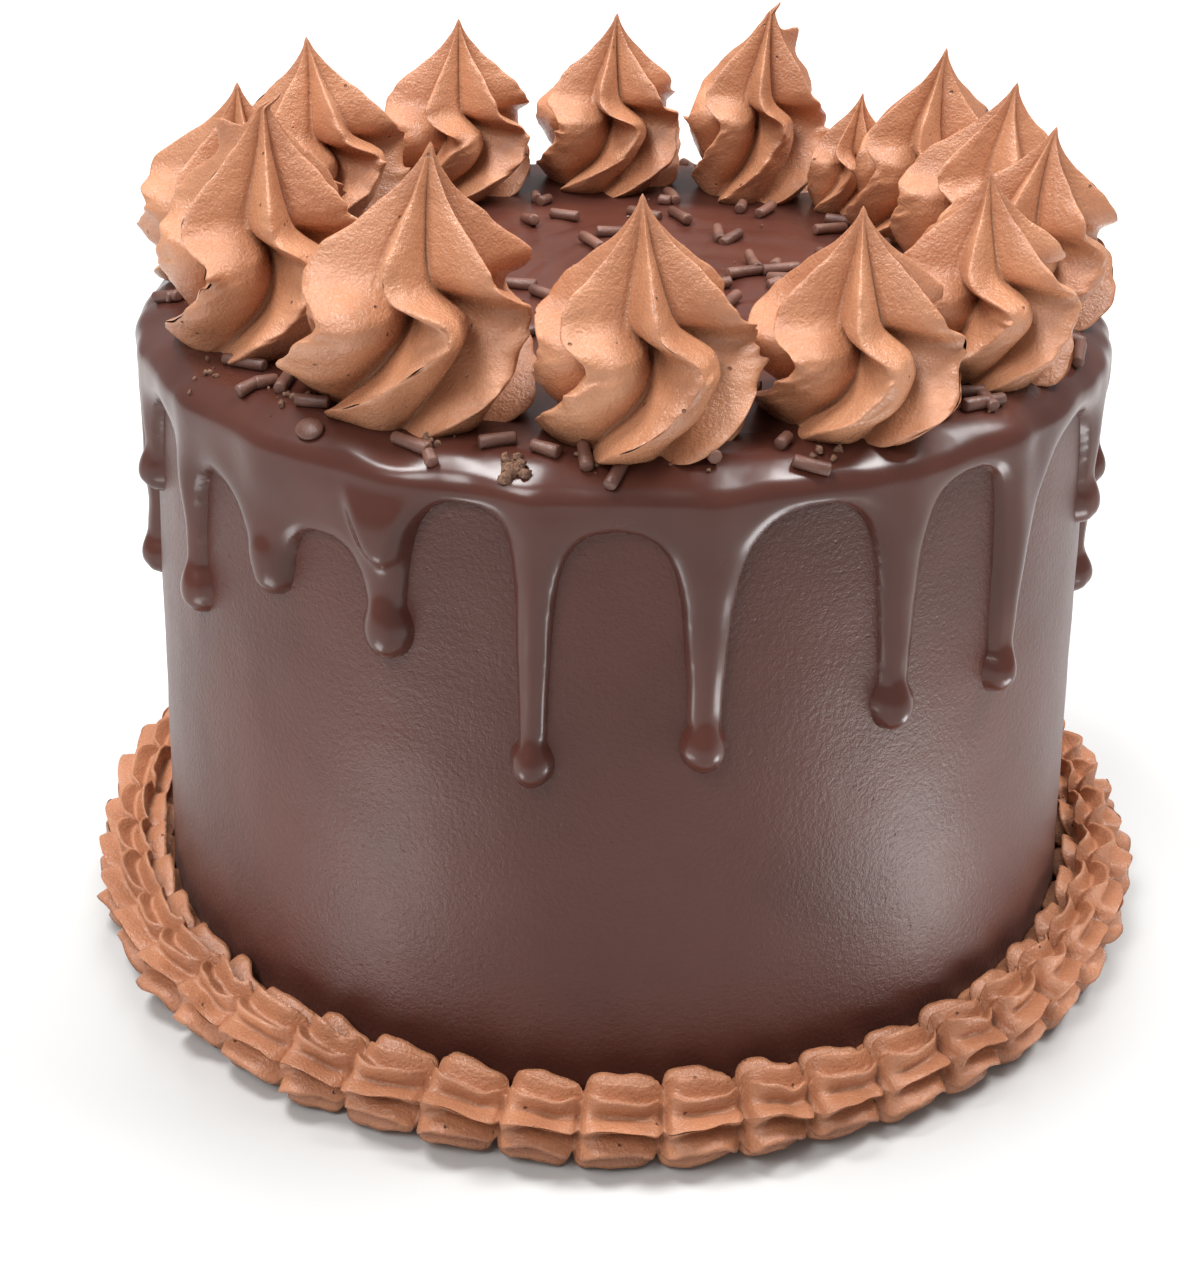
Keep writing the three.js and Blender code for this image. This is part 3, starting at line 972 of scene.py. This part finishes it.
SWIRL_LEVELS = (
    Level(0.00, 0.00, -46, 0.00, 1.0),
    Level(0.00, 0.42, -46, 0.05, 1.0),
    Level(0.00, 0.76, -43, 0.18, 1.0),
    Level(0.03, 0.90, -34, 0.30, 1.0),
    Level(0.08, 0.97, -21, 0.38, 1.0),
    Level(0.13, 1.00, -9, 0.43, 1.0),
    Level(0.19, 1.01, 3, 0.46, 1.0),
    Level(0.26, 1.01, 13, 0.48, 1.0),
    Level(0.32, 1.00, 20, 0.50, 1.0),
    Level(0.37, 0.99, 24, 0.52, 0.9),
    Level(0.41, 0.98, 24, 0.53, 0.8),
    Level(0.435, 0.975, 21.5, 0.53, 0.6),
    Level(0.455, 0.965, 17, 0.52, 0.4),
    Level(0.475, 0.95, 11.5, 0.52, 0.25),
    Level(0.497, 0.93, 6.5, 0.52, 0.1),
    Level(0.53, 0.895, 3, 0.53, 0.0),
    Level(0.57, 0.845, 1, 0.55, 0.0),
    Level(0.64, 0.71, 0, 0.57, 0.0),
    Level(0.72, 0.51, 0, 0.58, 0.0),
    Level(0.80, 0.30, 0, 0.56, 0.0),
    Level(0.88, 0.148, 0, 0.50, 0.0),
    Level(0.94, 0.062, 0, 0.38, 0.0),
    Level(0.98, 0.026, 0, 0.15, 0.0),
    Level(1.00, 0.003, 0, 0.0, 0.0),
)


@dataclass(frozen=True)
class Swirl:
    """One piped swirl on the rim.

    Args:
        at: Azimuth on the cake in degrees.
        ring: Its distance from the cake's axis.
        along: Half width along the ring.
        across: Half width across the ring.
        tall: Height.
        turn: Turn of the whole swirl in degrees.
        lean: How far the tip leans to +X.
    """

    at: float
    ring: float
    along: float
    across: float
    tall: float
    turn: float
    lean: float


def swirl_ring() -> list[Swirl]:
    """The swirls in order round the cake."""
    rows = (
        (241, 60.5, 17.8, 17.2, 36.5, 10, 3.0),
        (272.5, 62, 15.4, 15.8, 32.5, 3, -1.0),
        (300.5, 63, 14.8, 15, 29, 24, -0.6),
        (326, 62.5, 12.6, 14.6, 29, 40, -0.5),
        (349.5, 62, 12.4, 15.2, 29, 12, 4.0),
        (11.5, 61, 11, 15.6, 30, 30, 3.0),
        (31.5, 61, 10.4, 15, 31, 50, 2.0),
        (48.3, 61, 6.8, 7.6, 20, 5, 1.5),
        (67, 60.5, 12.4, 13.4, 33.5, 20, 2.6),
        (92.5, 61, 13.8, 14.2, 30, 44, 1.2),
        (119.2, 62, 14.2, 15, 30, 8, 0.6),
        (147.2, 62, 15.2, 14.6, 31, 28, -2.0),
        (175.4, 62, 14.4, 16.4, 30, 52, 0.4),
        (205.5, 59.5, 16.2, 16, 36, 16, 1.2),
    )
    return [Swirl(at, r * MM, a * MM, b * MM, t * MM, turn, lean * MM) for at, r, a, b, t, turn, lean in rows]


RIDGE_ROUND = 0.03


def groove_dip(share: np.ndarray, fold: np.ndarray) -> np.ndarray:
    """Depth of a star nozzle's groove from one ridge to the next.

    Args:
        share: Place between the ridges, 0 to 1.
        fold: 0 for an even flute, 1 for a broad face that dives into a crease before the next ridge.

    Returns:
        0 on a ridge and 1 at the deepest line.
    """
    deepest = 0.5 + 0.24 * fold
    soft = RIDGE_ROUND * (1 + fold)
    before = np.clip((np.hypot(share, soft) - soft) / (np.hypot(deepest, soft) - soft), 0, 1)
    after = np.clip((np.hypot(1 - share, soft) - soft) / (np.hypot(1 - deepest, soft) - soft), 0, 1)
    flute_before = 1 - (1 - before) ** 1.9
    flute_after = 1 - (1 - after) ** 1.9
    crease = 0.12 * np.exp(-(((share - deepest) / 0.05) ** 2))
    face = 0.28 * (1 - (1 - before) ** 3) + 0.72 * before**2.6
    return crease + np.where(
        share < deepest,
        (1 - fold) * flute_before + fold * face,
        (1 - fold) * flute_after + fold * (0.7 * flute_after + 0.3 * after),
    )


@dataclass(frozen=True)
class Flap:
    """A torn bit of a ridge that stands up.

    Args:
        ridge: Which ridge.
        up: Share of the swirl's height where it stands.
        out: How far it sticks out.
        rise: How far it rises.
        width: Its half width along the ridge, as a share of the height.
    """

    ridge: int
    up: float
    out: float
    rise: float
    width: float


HOOKED_TIPS = {14: 2.4 * MM, 9: 1.2 * MM}
TORN_TIPS = {14: Flap(5, 0.80, 2.6 * MM, 2.8 * MM, 0.035), 9: Flap(5, 0.78, 2.0 * MM, 2.2 * MM, 0.04)}


def torn_flaps(number: int) -> tuple[Flap, ...]:
    """The torn bits of a swirl: a few small ones on its folds, and the large ones by two of the tips."""
    draw = np.random.default_rng(200 + number)
    flaps = [
        Flap(int(draw.integers(6)), draw.uniform(0.2, 0.42), draw.uniform(0.6, 1.5) * MM,
             draw.uniform(0.0, 1.2) * MM, draw.uniform(0.012, 0.03))
        for _ in range(3)
    ]
    if number in TORN_TIPS:
        flaps.append(TORN_TIPS[number])
    return tuple(flaps)


@dataclass
class PipedSwirl:
    """A swirl of buttercream from a six-pointed star nozzle, drawn up to a thin tip."""

    swirl: Swirl
    number: int
    flaps: tuple[Flap, ...] = ()
    hook: float = 0.0
    ridges: int = 6
    steps: int = 26
    rows: int = 132
    foot_sink: float = 0.9 * MM
    finish: PipingFinish = PipingFinish("swirl_piping", brown(0.53, 0.245, 0.130), brown(0.42, 0.178, 0.090))

    def build(self) -> bpy.types.Object:
        """Shapes a rolled grid into the swirl and sets it on the ganache."""
        bm, angle, share = rolled(self.rows, self.ridges * self.steps)
        put(bm, self.shaped(angle / TURN * self.ridges, share))
        node = f"swirl_{self.number:02d}"
        return add_piece(f"piped_{node}", bm, self.finish, (node,))

    def levels(self, share: np.ndarray) -> list[np.ndarray]:
        """The level's values at each vertex's row.

        Args:
            share: The row of each vertex, 0 to 1.

        Returns:
            Height, radius, turn, groove and fold, one array each.
        """
        stations = np.linspace(0, 1, len(SWIRL_LEVELS))
        names = ("up", "out", "turn", "groove", "fold")
        return [smooth_curve(stations, [getattr(level, name) for level in SWIRL_LEVELS], share) for name in names]

    def shaped(self, place: np.ndarray, share: np.ndarray) -> np.ndarray:
        """Places of the swirl's vertices on the cake.

        Args:
            place: Place of each vertex round the swirl, in ridges.
            share: Row of each vertex, 0 to 1.

        Returns:
            One row of coordinates a vertex.
        """
        swirl = self.swirl
        draw = np.random.default_rng(100 + self.number)
        up, out, turn, groove, fold = self.levels(share)
        up = np.clip(up, 0, 1)
        out = np.maximum(out, 0)
        ridge = np.floor(place + 1e-6).astype(int)
        between = place - ridge
        between = between - 0.085 * np.sin(TURN * between)
        sway = draw.uniform(0.7, 1.25, self.ridges)
        aside = draw.normal(0, 3.2, self.ridges)
        size = draw.normal(1, 0.035, self.ridges)
        depth = draw.uniform(0.88, 1.1, self.ridges)
        late = draw.uniform(-0.022, 0.022, self.ridges)
        shifts = draw.uniform(0, TURN, 4)
        on_base = smoothstep(0.62, 0.4, up)

        def spread(values: np.ndarray) -> np.ndarray:
            """A ridge's own value, passing to the next ridge's across the groove."""
            first = values[ridge % self.ridges]
            second = values[(ridge + 1) % self.ridges]
            return first + (second - first) * between

        up = np.clip(up + spread(late) * np.sin(math.pi * np.clip(up / 0.75, 0, 1)), 0, 1)
        bend = turn * spread(sway) + spread(aside) * (0.4 + 0.6 * on_base)
        angle = np.radians(bend + swirl.turn) + (ridge + between) / self.ridges * TURN
        dip = groove_dip(between, fold)
        pocket = np.exp(-(((up - 0.39) / 0.06) ** 2)) * smoothstep(0.45, 1.0, dip) * smoothstep(0.45, 0.6, between)
        cut = np.minimum(groove * spread(depth) * dip * (1 + 0.7 * pocket), 0.88)
        crest = np.clip(1 - dip, 0, 1)
        ragged = Unevenness(2.6 * MM, 40 + self.number).at(
            np.stack([(ridge + between) * 12 * MM, up * swirl.tall, 0 * up], -1)
        )
        radius = out * (1 - cut) * (1 + (spread(size) - 1) * on_base)
        radius *= 1 + 0.016 * ragged * crest**3 * smoothstep(0.02, 0.2, out)
        over = 3.0 * crest**2 * fold * smoothstep(0.02, 0.1, up)
        angle = angle + np.radians(over)
        x = radius * np.cos(angle) * swirl.across
        y = radius * np.sin(angle) * swirl.along
        whirl = TURN * (0.2 + 1.1 * up) + shifts[0]
        drift = 0.05 * swirl.along * smoothstep(0.5, 0.15, up) * smoothstep(0, 0.2, out)
        x += drift * np.cos(whirl)
        y += drift * np.sin(whirl)
        lip = np.exp(-(((up - 0.40) / 0.06) ** 2)) * crest**2
        z = up * swirl.tall - 0.012 * swirl.tall * lip
        z += 0.006 * swirl.tall * ragged * crest**3 * on_base
        for flap in self.flaps:
            near = np.abs((place - flap.ridge + self.ridges / 2) % self.ridges - self.ridges / 2)
            weight = np.exp(-((near / 0.11) ** 2)) * np.exp(-(((up - flap.up) / flap.width) ** 2))
            x += flap.out * weight * np.cos(angle)
            y += flap.out * weight * np.sin(angle)
            z += flap.rise * weight
        points = np.stack([x, y, z], -1)
        soft = Unevenness(8 * MM, 60 + self.number).at(points)
        swell = 1 + 0.025 * soft * smoothstep(0, 0.3, out)
        x = x * swell
        y = y * swell
        at = math.radians(swirl.at)
        level = z / swirl.tall
        world_x = swirl.ring * math.cos(at) + x * math.cos(at) - y * math.sin(at)
        world_x += swirl.lean * level**2 + self.hook * smoothstep(0.93, 1.0, up)
        world_y = swirl.ring * math.sin(at) + x * math.sin(at) + y * math.cos(at)
        foot = SIZES.ganache_top + SIZES.gap
        sink = self.foot_sink * (1 - smoothstep(0, 0.1, up))
        return np.stack([world_x, world_y, foot + z - sink], -1)


# ---------------------------------------------------------------- border

@dataclass
class ShellBorder:
    """The rope of piped shells round the foot: each starts in a raised pleat and thins to the next."""

    shells: int = 46
    steps: int = 26
    ridges: int = 10
    ridge_steps: int = 8
    thin: float = 5.9 * MM
    thick: float = 7.3 * MM
    thin_height: float = 5.9 * MM
    thick_height: float = 7.3 * MM
    thin_middle: float = 85.4 * MM
    thick_middle: float = 86.0 * MM
    first_ridge: float = 28.0
    fan_middle: float = 30.0
    fan: float = 1.0
    crease_at: float = 0.04
    crease: float = 0.25
    head: float = 0.30
    taper: float = 0.85
    groove: float = 0.47
    lean: float = 0.07
    sink: float = 0.4 * MM
    finish: PipingFinish = PipingFinish("border_piping", brown(0.46, 0.200, 0.104), brown(0.35, 0.142, 0.071))

    def build(self) -> bpy.types.Object:
        """Rolls a grid into the rope of shells."""
        bm, around, share = rolled(self.ridges * self.ridge_steps, self.shells * self.steps)
        put(bm, self.shaped(around, share * self.ridges))
        return add_piece("shell_border", bm, self.finish, ("base_border",))

    def per_join(self, values: np.ndarray, shell: np.ndarray, along: np.ndarray) -> np.ndarray:
        """Spreads one value a join over the rope, passing smoothly from join to join.

        Args:
            values: The value at each join.
            shell: Shell of each vertex.
            along: Place in the shell, 0 to 1.

        Returns:
            The value at each vertex.
        """
        following = np.roll(values, -1)
        return values[shell] + (following[shell] - values[shell]) * smoothstep(0.45, 0.85, along)

    def shaped(self, around: np.ndarray, place: np.ndarray) -> np.ndarray:
        """Places of the rope's vertices.

        Args:
            around: Azimuth of each vertex.
            place: Its place round the rope, in ridges.

        Returns:
            One row of coordinates a vertex.
        """
        draw = np.random.default_rng(5)
        pitch = np.mod(around / TURN, 1) * self.shells
        shell = np.minimum(np.floor(pitch + 1e-6).astype(int), self.shells - 1)
        along = pitch - shell
        swell = self.per_join(draw.uniform(0.72, 1.0, self.shells), shell, along)
        twist = self.per_join(draw.normal(0, 4, self.shells), shell, along)
        wander = self.per_join(draw.uniform(-0.9, 0.9, self.shells) * MM, shell, along)
        breadth = self.per_join(draw.uniform(0.85, 1.2, self.shells), shell, along)
        ridge = np.floor(place + 1e-6).astype(int)
        between = place - ridge
        between = between - 0.06 * np.sin(TURN * between)
        rest = math.radians(self.first_ridge) + np.radians(twist) + (ridge + between) / self.ridges * TURN
        from_front = np.mod(rest - math.radians(self.fan_middle) + math.pi, TURN) - math.pi
        leaning = along - self.lean * np.sin(rest)
        past = np.mod(leaning - self.crease_at, 1)
        head = self.head * breadth
        rounded = np.sqrt(1 - (1 - np.clip(past / head, 0, 1)) ** 2)
        hump = swell * rounded * (1 - self.taper * smoothstep(head, 1, past))
        from_crease = np.minimum(past, 1 - past)
        spread = swell * np.exp(-((from_crease / 0.17) ** 2))
        section = rest + self.fan * spread * from_front * np.exp(-(from_front**2))
        dip = np.abs(np.sin(math.pi * between)) ** 1.25
        crease = np.exp(-((from_crease / 0.03) ** 2)) + 0.5 * np.exp(-((from_crease / 0.08) ** 2))
        pocket = np.exp(-(((place - 9.5) / 0.35) ** 2)) * smoothstep(0.2, 0.5, past)
        groove = (self.groove + 0.2 * pocket) * (0.62 + 0.38 * smoothstep(0.05, 0.35, past))
        size = self.thin + (self.thick - self.thin) * hump
        own = draw.normal(1, 0.05, (self.shells, self.ridges))
        own_here = np.zeros(len(around))
        for number in range(self.ridges):
            apart = np.abs((place - number + self.ridges / 2) % self.ridges - self.ridges / 2)
            own_here += self.per_join(own[:, number], shell, along) * np.clip(1 - apart, 0, 1)
        reach = size * (1 - groove * dip) * (1 - self.crease * crease) * own_here
        spots = polar(np.full(len(around), self.thin_middle), around, place * 5 * MM)
        chunks = np.clip(Unevenness(3.6 * MM, 73).at(spots), 0, 0.8) * 1.5 * MM
        top_ridge = np.exp(-((((place - 2.2 + 4) % self.ridges - 4) / 0.45) ** 2))
        reach = reach + chunks * top_ridge * (1 - hump)
        reach *= 1 + 0.025 * Unevenness(5 * MM, 71).at(spots)
        height = self.thin_height + (self.thick_height - self.thin_height) * hump
        middle = self.thin_middle + (self.thick_middle - self.thin_middle) * hump
        z = np.maximum(height + reach * np.sin(section), 0)
        radius = middle + reach * np.cos(section)
        radius = np.maximum(radius, SIZES.wall(z) - self.sink)
        return polar(radius, around + wander / self.thin_middle, z)


# ---------------------------------------------------------------- sprinkles and crumbs

@dataclass(frozen=True)
class Spot:
    """Where a rod lies.

    Args:
        x: Its place along X.
        y: Its place along Y.
        heading: Its direction on the ganache in radians.
        length: Its length.
        lift: How far its middle is raised, where it lies on another rod.
    """

    x: float
    y: float
    heading: float
    length: float
    lift: float = 0.0


def seen_spots() -> list[Spot]:
    """The rods on the front of the rim and by the feet of the swirls that face the viewer."""
    rows = SEEN_RODS
    return [Spot(x * MM, y * MM, math.radians(heading), length * MM) for x, y, heading, length in rows]


SEEN_RODS = (
    (-42.0, -66.0, 160, 3.2),
    (-28.6, -67.4, 144, 6.2),
    (-10.6, -71.0, 152, 4.2),
    (-1.0, -74.5, 69, 5.4),
    (-5.4, -72.0, 99, 4.6),
    (24.8, -70.5, 169, 5.2),
    (-55.2, -40.5, 157, 7.0),
    (-53.6, -36.5, 153, 4.4),
    (-48.4, -47.7, 84, 6.6),
    (-43.5, -55.4, 168, 5.0),
    (68.0, -29.0, 80, 6.6),
    (50.5, -51.5, 30, 7.2),
)

BUTTON_PLACE = (-43.1 * MM, -61.0 * MM)
BUTTON_RADIUS = 2.3 * MM

SEEN_CRUMBS = (
    (-15.1, -72.5, 0.9, 16, 1.25),
    (-25.5, -68.5, 1.2, 8, 0.8),
    (-4.5, -72.5, 1.0, 6, 0.7),
    (-47.0, -52.0, 1.6, 8, 0.7),
    (-60.0, -42.0, 1.6, 8, 0.6),
    (27.5, -69.0, 1.4, 6, 0.8),
)


@dataclass
class Sprinkles:
    """Chocolate rods scattered over the ganache and among the swirls, some of them broken."""

    ground: BVHTree
    count: int = 40
    radius: float = 0.98 * MM
    length: float = 6.9 * MM
    spread: float = 39 * MM
    spacing: float = 5.2 * MM
    sink: float = 0.22 * MM
    sides: int = 9
    finish: SprinkleFinish = field(default_factory=SprinkleFinish)
    broken_finish: CrumbFinish = field(default_factory=CrumbFinish)

    def build(self) -> bpy.types.Object:
        """Lays every rod on the ganache, as one piece."""
        bm = bmesh.new()
        draw = np.random.default_rng(31)
        for spot in self.centre_spots() + self.swirl_spots() + seen_spots():
            self.lay(bm, spot, draw)
        self.button(bm)
        return add_piece("sprinkles", bm, self.finish, (), self.broken_finish)

    def button(self, bm: bmesh.types.BMesh) -> None:
        """Adds the one flat round drop that lies on the rim."""
        place, normal, _, _ = self.ground.ray_cast(Vector((*BUTTON_PLACE, 0.2)), Vector((0, 0, -1)))
        turn = normal.to_track_quat("Z", "Y").to_matrix().to_4x4()
        flat = Matrix.Diagonal((1, 0.8, 0.42, 1))
        matrix = Matrix.Translation(place + 0.2 * BUTTON_RADIUS * normal) @ turn @ flat
        bmesh.ops.create_icosphere(bm, subdivisions=3, radius=BUTTON_RADIUS, matrix=matrix)

    def centre_spots(self) -> list[Spot]:
        """The rods in the middle, none nearer than the spacing, and a few that lie against them."""
        draw = repeatable(7)
        spots: list[Spot] = []
        while len(spots) < self.count:
            radius = self.spread * math.sqrt(draw())
            angle = TURN * draw()
            x = radius * math.cos(angle)
            y = radius * math.sin(angle)
            heading = math.pi * draw()
            length = self.length * (0.75 + 0.35 * draw())
            if all(math.hypot(x - other.x, y - other.y) > self.spacing for other in spots):
                spots.append(Spot(x, y, heading, length))
        more = []
        for spot in spots[::4]:
            aside = 2.6 * MM
            heading = spot.heading + 0.9 * draw() + 0.3
            shift = spot.heading + math.pi / 2
            more.append(Spot(spot.x + aside * math.cos(shift), spot.y + aside * math.sin(shift), heading,
                             self.length * (0.35 + 0.5 * draw())))
        return spots + more

    def swirl_spots(self) -> list[Spot]:
        """Rods that lie between the feet of the swirls and near the rim."""
        draw = np.random.default_rng(17)
        spots = []
        ring = swirl_ring()
        for swirl, following in zip(ring, ring[1:] + ring[:1]):
            middle = math.radians(swirl.at + ((following.at - swirl.at) % 360) / 2)
            for reach in (46 * MM, 49 * MM, 70.5 * MM, 73 * MM):
                angle = middle + draw.normal(0, 0.06)
                radius = reach + draw.normal(0, 1.0) * MM
                length = self.length * draw.uniform(0.3, 1.05)
                spots.append(Spot(radius * math.cos(angle), radius * math.sin(angle), draw.uniform(0, math.pi), length))
        return spots

    def rod(self, length: float, draw: np.random.Generator) -> bpy.types.Mesh:
        """Makes one upright rod, slightly bent, with flat ends, one of them broken now and then.

        Args:
            length: Its length.
            draw: The random source.

        Returns:
            A mesh to be laid and thrown away.
        """
        bm = bmesh.new()
        bmesh.ops.create_cone(
            bm, cap_ends=True, segments=self.sides, radius1=self.radius, radius2=self.radius * 0.94, depth=length,
        )
        rims = [edge for edge in bm.edges if abs(edge.verts[0].co.z - edge.verts[1].co.z) < 0.1 * length]
        uprights = [edge for edge in bm.edges if edge not in rims]
        bmesh.ops.subdivide_edges(bm, edges=uprights, cuts=2, use_grid_fill=False)
        bmesh.ops.bevel(
            bm, geom=rims, offset=0.3 * self.radius, segments=2, profile=0.5, affect="EDGES", material=-1,
        )
        bend = draw.normal(0, 0.012) / MM
        swell = draw.uniform(-0.06, 0.06)
        for vert in bm.verts:
            share = 1 + swell * math.sin(vert.co.z / length * 5)
            vert.co = (vert.co.x * share + bend * vert.co.z**2, vert.co.y * share, vert.co.z)
        if draw.uniform() < 0.3:
            for face in bm.faces:
                if len(face.verts) > 4 and face.calc_center_median().z > 0:
                    face.material_index = 1
                    for vert in face.verts:
                        vert.co.z += draw.uniform(-0.35, 0.1) * self.radius
        mesh = bpy.data.meshes.new("rod")
        bm.to_mesh(mesh)
        bm.free()
        return mesh

    def lay(self, bm: bmesh.types.BMesh, spot: Spot, draw: np.random.Generator) -> None:
        """Adds one rod, lying along the slope under it.

        Args:
            bm: The surface that it joins.
            spot: Where it lies.
            draw: The random source.
        """
        place, normal, _, _ = self.ground.ray_cast(Vector((spot.x, spot.y, 0.2)), Vector((0, 0, -1)))
        if place is None:
            return
        along = Vector((math.cos(spot.heading), math.sin(spot.heading), 0))
        along = (along - normal * along.dot(normal)).normalized()
        side = along.cross(normal)
        turn = Matrix((side, normal, along)).transposed().to_4x4()
        rod = self.rod(spot.length, draw)
        rolled_by = Matrix.Rotation(draw.uniform(0, TURN), 4, "Z")
        rod.transform(Matrix.Translation(place + normal * (self.radius - self.sink + spot.lift)) @ turn @ rolled_by)
        bm.from_mesh(rod)
        bpy.data.meshes.remove(rod)


@dataclass
class Crumbs:
    """Crumbs and splinters of broken rods, in small heaps and strewn thinly."""

    ground: BVHTree
    strewn: int = 90
    finish: CrumbFinish = field(default_factory=CrumbFinish)

    def build(self) -> bpy.types.Object:
        """Drops every crumb on the ganache, as one piece."""
        bm = bmesh.new()
        draw = np.random.default_rng(53)
        for x, y, spread, count, largest in SEEN_CRUMBS:
            for _ in range(count):
                size = draw.uniform(0.3, 1.0) * largest
                self.drop(bm, x + draw.normal(0, spread), y + draw.normal(0, spread), size, draw)
        for _ in range(self.strewn):
            angle = draw.uniform(0, TURN)
            reach = draw.choice([draw.uniform(5, 47), draw.uniform(68, 75)])
            self.drop(bm, reach * math.cos(angle), reach * math.sin(angle), draw.uniform(0.15, 0.42), draw)
        return add_piece("crumbs", bm, self.finish)

    def drop(self, bm: bmesh.types.BMesh, x: float, y: float, size: float, draw: np.random.Generator) -> None:
        """Adds one crumb.

        Args:
            bm: The surface that it joins.
            x: Its place along X in mm.
            y: Its place along Y in mm.
            size: Its radius in mm.
            draw: The random source.
        """
        place = self.ground.ray_cast(Vector((x * MM, y * MM, 0.2)), Vector((0, 0, -1)))[0]
        if place is None:
            return
        shape = Matrix.Diagonal((*draw.uniform(0.6, 1.3, 3), 1))
        made = bmesh.ops.create_icosphere(
            bm, subdivisions=1, radius=size * MM, matrix=Matrix.Translation(place + Vector((0, 0, 0.4 * size * MM))) @ shape,
        )
        for vert in made["verts"]:
            vert.co += Vector(draw.normal(0, 0.16 * size, 3)) * MM


# ---------------------------------------------------------------- stage

@dataclass
class Studio:
    """Plain floor, soft lights and the camera."""

    aim: tuple = (-2.98 * MM, 0.0, 42.45 * MM)
    distance: float = 380 * MM
    elevation: float = 27.83
    roll: float = -0.81
    focal_pixels: float = 2157.0
    frame_height: float = 1275.0
    sensor: float = 36.0

    def camera(self) -> None:
        """Sets the camera at the photograph's viewing angle."""
        rise = math.radians(self.elevation)
        forward = Vector((0, math.cos(rise), -math.sin(rise)))
        lens = bpy.data.cameras.new("camera")
        lens.sensor_width = self.sensor
        lens.lens = self.focal_pixels / self.frame_height * self.sensor
        lens.clip_start = 0.01
        camera = bpy.data.objects.new("camera", lens)
        bpy.context.scene.collection.objects.link(camera)
        facing = forward.to_track_quat("-Z", "Y").to_matrix().to_4x4()
        level = Matrix.Rotation(math.radians(self.roll), 4, forward)
        place = Matrix.Translation(Vector(self.aim) - forward * self.distance)
        camera.matrix_world = place @ level @ facing
        bpy.context.scene.camera = camera

    def light(self, name: str, place: tuple, aim: tuple, size: float, power: float, shines: bool = True) -> None:
        """Adds a square soft light.

        Args:
            name: The light's name.
            place: Where it hangs.
            aim: The point it faces.
            size: Width of its face.
            power: Watts.
            shines: Whether it shows in what reflects it.
        """
        lamp = bpy.data.lights.new(name, "AREA")
        lamp.shape = "SQUARE"
        lamp.size = size
        lamp.energy = power
        holder = bpy.data.objects.new(name, lamp)
        bpy.context.scene.collection.objects.link(holder)
        facing = (Vector(aim) - Vector(place)).to_track_quat("-Z", "Y").to_matrix().to_4x4()
        holder.matrix_world = Matrix.Translation(place) @ facing
        holder.visible_camera = False
        holder.visible_glossy = shines

    def floor(self) -> None:
        """Lays the plain pale floor."""
        bm = bmesh.new()
        bmesh.ops.create_grid(bm, x_segments=1, y_segments=1, size=6.0)
        mesh = bpy.data.meshes.new("floor")
        bm.to_mesh(mesh)
        bm.free()
        tree = FinishTree("floor")
        tree.set(Base_Color=brown(0.55, 0.55, 0.545), Roughness=0.6)
        mesh.materials.append(tree.material)
        floor = bpy.data.objects.new("floor", mesh)
        bpy.context.scene.collection.objects.link(floor)

    def build(self) -> None:
        """Sets camera, floor, lights and sky."""
        self.camera()
        self.floor()
        middle = (0, 0, 70 * MM)
        self.light("left_panel", (-0.50, 0.02, 1.38), middle, 0.42, 15.5)
        self.light("right_panel", (0.68, 0.12, 1.25), middle, 0.42, 15.5)
        self.light("front_softbox", (-0.8, -1.1, 1.6), middle, 0.75, 22.0)
        self.light("floor_softbox", (0, 1.7, 1.4), (0, 0.9, 0), 1.5, 48.0, False)
        self.light("left_card", (-90 * MM, -108 * MM, 1 * MM), (-90 * MM, -108 * MM, 1), 0.05, 0.042)
        self.light("right_card", (112 * MM, -84 * MM, 1 * MM), (112 * MM, -84 * MM, 1), 0.05, 0.075)
        world = bpy.data.worlds.new("sky")
        world.use_nodes = True
        sky = world.node_tree.nodes["Background"]
        sky.inputs["Color"].default_value = (1.0, 1.0, 1.0, 1.0)
        sky.inputs["Strength"].default_value = 0.38
        bpy.context.scene.world = world
        bpy.context.scene.view_settings.view_transform = "Standard"


def main() -> None:
    """Builds the studio and the cake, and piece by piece."""
    logging.basicConfig(level=logging.INFO, format="%(name)s: %(message)s")
    Studio().build()
    FrostedBody().build()
    ground = GanacheCoat().build()
    for number, swirl in enumerate(swirl_ring(), 1):
        PipedSwirl(swirl, number, torn_flaps(number), HOOKED_TIPS.get(number, 0.0)).build()
    ShellBorder().build()
    Sprinkles(ground).build()
    Crumbs(ground).build()
    bpy.context.view_layer.update()


if __name__ == "__main__":
    main()
